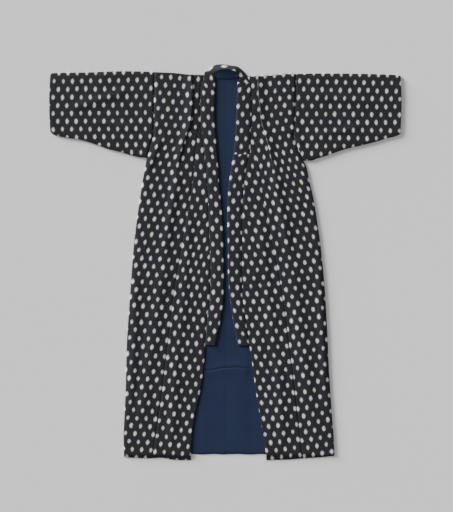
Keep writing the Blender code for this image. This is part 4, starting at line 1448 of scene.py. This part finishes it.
@dataclass
class Collar:
    """The collar band: the long over-collar round the neck, and the two ends below its cross joins."""

    halves: dict[Hand, Half]
    step: float = 5.0
    noise: SoftNoise = field(default_factory=lambda: SoftNoise(41, 26.0, 40.0))

    def front_band(self, hand: Hand, down: float) -> Band:
        """Return the band's section on one front."""
        half = self.halves[hand]
        seam = float(half.edges["collar"](down)) - SEAM_GAP / 2
        free = float(half.opening(down))
        return Band((hand.value * seam, down), (hand.value * free, down), COLLAR_UNDER, COLLAR_UNDER)

    def neck_bands(self) -> list[Band]:
        """Return soft sections between the measured ones round the neck."""
        spots = list(range(len(NECK)))
        curves = [Curve(spots, [row[index] for row in NECK]) for index in range(6)]
        bands = []
        for share in np.linspace(0.0, len(NECK) - 1, 4 * (len(NECK) - 1) + 1):
            values = [float(curve(share)) for curve in curves]
            bands.append(
                Band(
                    (values[0], values[1]),
                    (values[2], values[3]),
                    COLLAR_UNDER + values[4],
                    COLLAR_UNDER + values[5],
                )
            )
        return bands

    def sweep(
        self,
        name: str,
        bands: list[Band],
        cloth: Callable[[np.ndarray, np.ndarray, np.ndarray], np.ndarray],
        finishes: list[bpy.types.Material],
    ) -> bpy.types.Object:
        """Sweep the folded section along its bands and close both ends.

        Args:
            name: The piece's name.
            bands: The sections in order.
            cloth: Turns (distance from the seam, path, middle line) into cloth coordinates.
            finishes: The outer and inner materials.

        Returns:
            The band.
        """
        rings = []
        offsets = []
        for band in bands:
            outer, inner = np.array(band.outer), np.array(band.inner)
            width = float(np.linalg.norm(inner - outer))
            ring = []
            for share, level in BAND_SECTION:
                spot = outer + share * (inner - outer)
                under = band.outer_under + share * (band.inner_under - band.outer_under)
                on_top = 0.05 < share < 0.95 and level > 0.9
                crown = 0.35 * float(self.noise(spot[0], spot[1])) if on_top else 0.0
                ring.append((spot[0], spot[1], under + level * COLLAR_THICK + crown * 0.5))
            rings.append(ring)
            offsets.append([share * width for share, _ in BAND_SECTION])
        grid = np.array(rings)
        centre = grid.mean(axis=1)
        path = np.concatenate([[0.0], np.cumsum(np.linalg.norm(np.diff(centre, axis=0), axis=-1))])
        uv = cloth(np.array(offsets), path, centre)
        count = grid.shape[1]
        numbers = np.arange(len(grid) * count).reshape(len(grid), count)
        after = np.roll(numbers, -1, axis=1)
        quads = np.stack([numbers[:-1], after[:-1], after[1:], numbers[1:]], axis=-1).reshape(-1, 4)
        caps = []
        for row, turn in ((numbers[0], 1), (numbers[-1], -1)):
            for index in range(count // 2 - 1):
                quad = [row[index], row[index + 1], row[count - 2 - index], row[count - 1 - index]]
                caps.append(quad[::-1] if turn > 0 else quad)
        faces = np.concatenate([quads, np.array(caps)])
        slots = np.zeros(len(faces), int)
        return add_mesh(name, grid.reshape(-1, 3), faces, slots, uv.reshape(-1, 2), finishes)

    def build(self, finishes: list[bpy.types.Material]) -> list[bpy.types.Object]:
        """Make the over-collar and the ends."""
        left_rows = np.arange(CROSS_JOIN[Hand.LEFT], COLLAR_HEAD[Hand.LEFT], -self.step)
        right_join = CROSS_JOIN[Hand.RIGHT]
        right_rows = np.arange(COLLAR_HEAD[Hand.RIGHT], right_join - 2.0, self.step)
        right_rows = np.append(right_rows, right_join - SEAM_GAP)
        bands = [self.front_band(Hand.LEFT, float(down)) for down in left_rows]
        bands += self.neck_bands()
        bands += [self.front_band(Hand.RIGHT, float(down)) for down in right_rows]

        def around(offset: np.ndarray, path: np.ndarray, centre: np.ndarray) -> np.ndarray:
            """Lay dots round the neck from mark to mark."""
            spots = [
                float(path[np.argmin(np.hypot(centre[:, 0] - mark.across, centre[:, 1] - mark.down))])
                for mark in COLLAR_MARKS
            ]
            rows = Curve(spots, [mark.row for mark in COLLAR_MARKS])(path)
            column = Curve(spots, [mark.column for mark in COLLAR_MARKS])(path)
            return np.stack(
                [(offset - column[:, None]) / DOT_COLUMN, np.broadcast_to(rows[:, None], offset.shape)], axis=-1
            )

        collar = self.sweep("cloth_collar", bands, around, finishes)
        made = [collar]
        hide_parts("collar")
        for hand, dots in COLLAR_END_DOTS.items():
            start = CROSS_JOIN[hand] + SEAM_GAP
            downs = np.append(np.arange(start, COLLAR_FOOT[hand] - 2.0, self.step), COLLAR_FOOT[hand])
            rows = [self.front_band(hand, float(down)) for down in downs]
            run = dots.first - start

            def down_front(
                spread: np.ndarray,
                path: np.ndarray,
                centre: np.ndarray,
                run: float = run,
                dots: EndDots = dots,
            ) -> np.ndarray:
                """Lay dots down one front from its first full row."""
                rows = np.broadcast_to(((path - run) / dots.whole)[:, None], spread.shape)
                return np.stack([(spread - dots.offset) / DOT_COLUMN, rows], axis=-1)

            word = hand.name.lower()
            piece = self.sweep(f"cloth_collar_{word}_end", rows, down_front, finishes)
            node = f"collar_{word}_end"
            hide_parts(node)
            made.append(piece)
        for piece, length in zip(made, (0.62, 0.66, 0.66)):
            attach(piece, "root")
        return made


@dataclass
class NeckFacing:
    """The plain navy facing inside the collar at the back neck."""

    rows: int = 12

    def build(self, finishes: list[bpy.types.Material]) -> bpy.types.Object:
        """Make the facing from the band's crest down to the lining."""
        rim = NECK[2:13]
        spots = list(range(len(rim)))
        across = Curve(spots, [row.inner_across for row in rim])
        down = Curve(spots, [row.inner_down for row in rim])
        rise = Curve(spots, [row.inner_rise for row in rim])
        shares = np.linspace(0.0, 1.0, 41)
        spot = shares * (len(rim) - 1)
        steps = np.linspace(0.0, 1.0, self.rows)[:, None]
        top_across, top_down = across(spot) * 0.985, down(spot) + 0.8
        low_across, low_down = -33.2 + shares * 77.2, 17.0 + 2.5 * np.sin(math.pi * shares)
        top_height = COLLAR_UNDER + rise(spot) + FACING_CLOTH / 2 + 1.0
        low_height = COLLAR_UNDER + FACING_CLOTH / 2
        middle = np.stack(
            [
                top_across + steps * (low_across - top_across),
                top_down + steps * (low_down - top_down),
                top_height + steps**0.8 * (low_height - top_height),
            ],
            axis=-1,
        )
        cloth = middle[..., :2] / (DOT_COLUMN, DOT_ROWS)
        made = Shell("cloth_neck_facing", middle, cloth, FACING_CLOTH).build(finishes)
        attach(made, "root")
        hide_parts("neck_facing")
        return made


@dataclass
class Sewing:
    """Hand stitches: short threads that come up through the cloth, dip back in and come up again."""

    pitch: float = 9.0
    length: float = 3.4
    radius: float = 0.42

    def thread(self) -> tuple[np.ndarray, np.ndarray]:
        """Return the points and faces of one stitch that lies along +X."""
        stations = ((-1.0, 0.25, -0.5), (-0.7, 0.9, 0.1), (0.0, 1.0, 0.35), (0.7, 0.9, 0.1), (1.0, 0.25, -0.5))
        sides = 6
        points = []
        for along, size, lift in stations:
            for index in range(sides):
                turn = 2 * math.pi * index / sides
                points.append(
                    (
                        along * self.length / 2,
                        math.cos(turn) * size * self.radius,
                        lift * self.radius + math.sin(turn) * size * self.radius,
                    )
                )
        faces = []
        for station in range(len(stations) - 1):
            for index in range(sides):
                low = station * sides
                after = (index + 1) % sides
                faces.append((low + index, low + sides + index, low + sides + after, low + after))
        last = (len(stations) - 1) * sides
        for first, flip in ((0, 1), (last, -1)):
            for quad in ((0, 1, 2, 3), (3, 4, 5, 0)):
                faces.append(tuple(first + corner for corner in quad[::flip]))
        return np.array(points), np.array(faces)

    def build(
        self,
        name: str,
        slot: str,
        cloth: bpy.types.Object,
        line: list[tuple[float, float]],
        finish: bpy.types.Material,
    ) -> bpy.types.Object:
        """Sew one line of stitches on top of a piece of cloth.

        Args:
            name: The line's name.
            slot: Not used.
            cloth: The piece that the line is sewn through.
            line: Places (signed across, down) that the line runs through.
            finish: The thread's material.

        Returns:
            One object that holds the line's stitches.
        """
        corners = [spot.co for spot in cloth.data.vertices]
        tree = BVHTree.FromPolygons(corners, [face.vertices[:] for face in cloth.data.polygons])
        spots = np.array(line, float)
        walked = np.concatenate([[0.0], np.cumsum(np.linalg.norm(np.diff(spots, axis=0), axis=-1))])
        shape, faces = self.thread()
        points = []
        quads = []
        chance = np.random.RandomState(len(name) * 31 + len(line))
        for step in np.arange(self.pitch / 2, walked[-1], self.pitch):
            step += chance.uniform(-0.8, 0.8)
            across, down = (float(np.interp(step, walked, spots[:, index])) for index in range(2))
            ahead = [float(np.interp(step + 1.0, walked, spots[:, index])) for index in range(2)]
            run = math.hypot(ahead[0] - across, ahead[1] - down) or 1.0
            cos, sin = (ahead[0] - across) / run, (ahead[1] - down) / run
            hit = tree.ray_cast(Vector(place(across, down, 40.0)), Vector((0.0, 0.0, -1.0)))[0]
            if hit is None:
                continue
            top = hit.z / MM
            moved = np.stack(
                [
                    across + shape[:, 0] * cos - shape[:, 1] * sin,
                    down + shape[:, 0] * sin + shape[:, 1] * cos,
                    top + shape[:, 2],
                ],
                axis=-1,
            )
            quads.append(faces + len(points) * len(shape))
            points.append(moved)
        points = np.concatenate(points)
        quads = np.concatenate(quads)
        lattice = points[:, :2] / (DOT_COLUMN, DOT_ROWS)
        made = add_mesh(name, points, quads, np.zeros(len(quads), int), lattice, [finish])
        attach(made, "root")
        return made


def sew(
    halves: dict[Hand, Half], cloths: dict[str, bpy.types.Object], threads: dict[str, bpy.types.Material]
) -> None:
    """Sew the lines that a maker leaves on this garment.

    Args:
        halves: The two halves.
        cloths: The pieces by name.
        threads: The thread materials by name.
    """
    sewing = Sewing()
    for hand, half in halves.items():
        word, sign = half.side_word, hand.value
        body, okumi = cloths[f"cloth_body_{word}"], cloths[f"cloth_okumi_{word}"]
        sleeve, lining = cloths[f"cloth_sleeve_{word}"], cloths[f"cloth_lining_{word}"]
        tuck = [
            (sign * (float(half.edges["tuck"](down)) - TUCK_INSET), down)
            for down in np.arange(*TUCK_SEWN, SEWN_STEP)
        ]
        hem = [
            (sign * across, float(half.hem(across)) - HEM_INSET)
            for across in np.arange(*HEM_SEWN, SEWN_STEP)
        ]
        front_start = float(half.edges["collar"](BACK_HEM)) + SEWN_STEP
        inner = [
            (sign * across, float(half.hem(across)) - HEM_INSET)
            for across in np.arange(front_start, FRONT_SEWN_END, SEWN_STEP)
        ]
        edge = [
            (sign * (float(half.edges["collar"](down)) + EDGE_INSET), down)
            for down in np.arange(*EDGE_SEWN, EDGE_STEP)
        ]
        ring = SLEEVES[hand][0]
        cuff_downs = np.arange(2 * CUFF_INSET, ring.under - 10.0, SEWN_STEP)
        cuff = [(sign * (ring.across - CUFF_INSET), down) for down in cuff_downs]
        foot = [(sign * across, LINING_HEM - HEM_INSET) for across in np.arange(*FOOT_SEWN, SEWN_STEP)]
        for name, slot, cloth, line in (
            ("tuck", "body", body, tuck),
            ("hem", "body", body, hem),
            ("front_hem", "okumi", okumi, inner),
            ("front_edge", "okumi", okumi, edge),
            ("cuff", "sleeve", sleeve, cuff),
        ):
            sewing.build(f"stitch_{name}_{word}", f"{slot}_{word}", cloth, line, threads["navy"])
        sewing.build(f"stitch_foot_{word}", f"lining_{word}", lining, foot, threads["indigo"])


@dataclass(frozen=True)
class Studio:
    """The pale floor, the soft light and the camera straight above."""

    lens: float = 70.0
    view_tall: float = 1.7408
    aim: tuple[float, float] = (0.0039, 0.0210)
    floor_grey: float = 0.825
    sky: float = 0.43
    key_power: float = 13.1
    key_spread: float = 22.0
    key_height: float = 10.3
    key_turn: float = 145.0

    def floor(self) -> None:
        """Lay the floor."""
        bpy.ops.mesh.primitive_plane_add(size=30.0, location=(0.0, 0.0, 0.0))
        floor = bpy.context.object
        floor.name = "floor"
        made = bpy.data.materials.new("pale_floor")
        made.use_nodes = True
        n = Nodes(made.node_tree)
        shader = made.node_tree.nodes["Principled BSDF"]
        shader.inputs["Roughness"].default_value = 0.95
        shader.inputs["Specular IOR Level"].default_value = 0.1
        place_at = n.add("ShaderNodeTexCoord").outputs["Object"]
        cloud = n.noise(place_at, 1.3, 2.0)
        grey = self.floor_grey
        low, high = grey * 0.99, grey * 1.01
        n.link(n.mix(cloud, (low, low, low, 1.0), (high, high, high, 1.0)), shader.inputs["Base Color"])
        floor.data.materials.append(made)

    def lights(self) -> None:
        """Add a broad key from the upper left and an even sky."""
        world = bpy.data.worlds.new("sky")
        world.use_nodes = True
        world.node_tree.nodes["Background"].inputs["Color"].default_value = (1.0, 1.0, 1.0, 1.0)
        world.node_tree.nodes["Background"].inputs["Strength"].default_value = self.sky
        bpy.context.scene.world = world
        data = bpy.data.lights.new("key", "SUN")
        data.angle = math.radians(self.key_spread)
        data.energy = self.key_power
        key = bpy.data.objects.new("key", data)
        key.location = (-1.7, 1.1, 1.2)
        key.rotation_euler = (0.0, math.radians(90.0 - self.key_height), math.radians(self.key_turn))
        bpy.context.scene.collection.objects.link(key)

    def camera(self) -> None:
        """Set the camera straight above, with the collar at the top of the picture."""
        data = bpy.data.cameras.new("camera")
        data.lens = self.lens
        data.sensor_width = 36.0
        camera = bpy.data.objects.new("camera", data)
        camera.location = (*self.aim, self.view_tall * self.lens / 36.0)
        bpy.context.scene.collection.objects.link(camera)
        bpy.context.scene.camera = camera


def main() -> None:
    """Dress the garment piece by piece."""
    logging.basicConfig(level=logging.INFO, format="%(message)s")
    bpy.ops.object.select_all(action="DESELECT")
    studio = Studio()
    studio.camera()
    studio.lights()
    studio.floor()
    groups = {"dots": kasuri_group(), "weave": weave_group()}
    outer = DOTTED.material(groups)
    indigo = INDIGO.material(groups)
    navy = FACING.material(groups)
    halves = {hand: Half(hand) for hand in Hand}
    made = Collar(halves).build([outer, indigo]) + [NeckFacing().build([navy, navy])]
    for half in halves.values():
        made += [maker.build([outer, indigo]) for maker in (Body(half), Okumi(half), SleeveTube(half))]
        made.append(Lining(half).build([indigo, indigo]))
    for piece in made:
        LOG.info("%s: %d faces", piece.name, len(piece.data.polygons))
    threads = {"navy": NAVY_THREAD.material(groups), "indigo": INDIGO_THREAD.material(groups)}
    sew(halves, {piece.name: piece for piece in made}, threads)


if __name__ == "__main__":
    main()
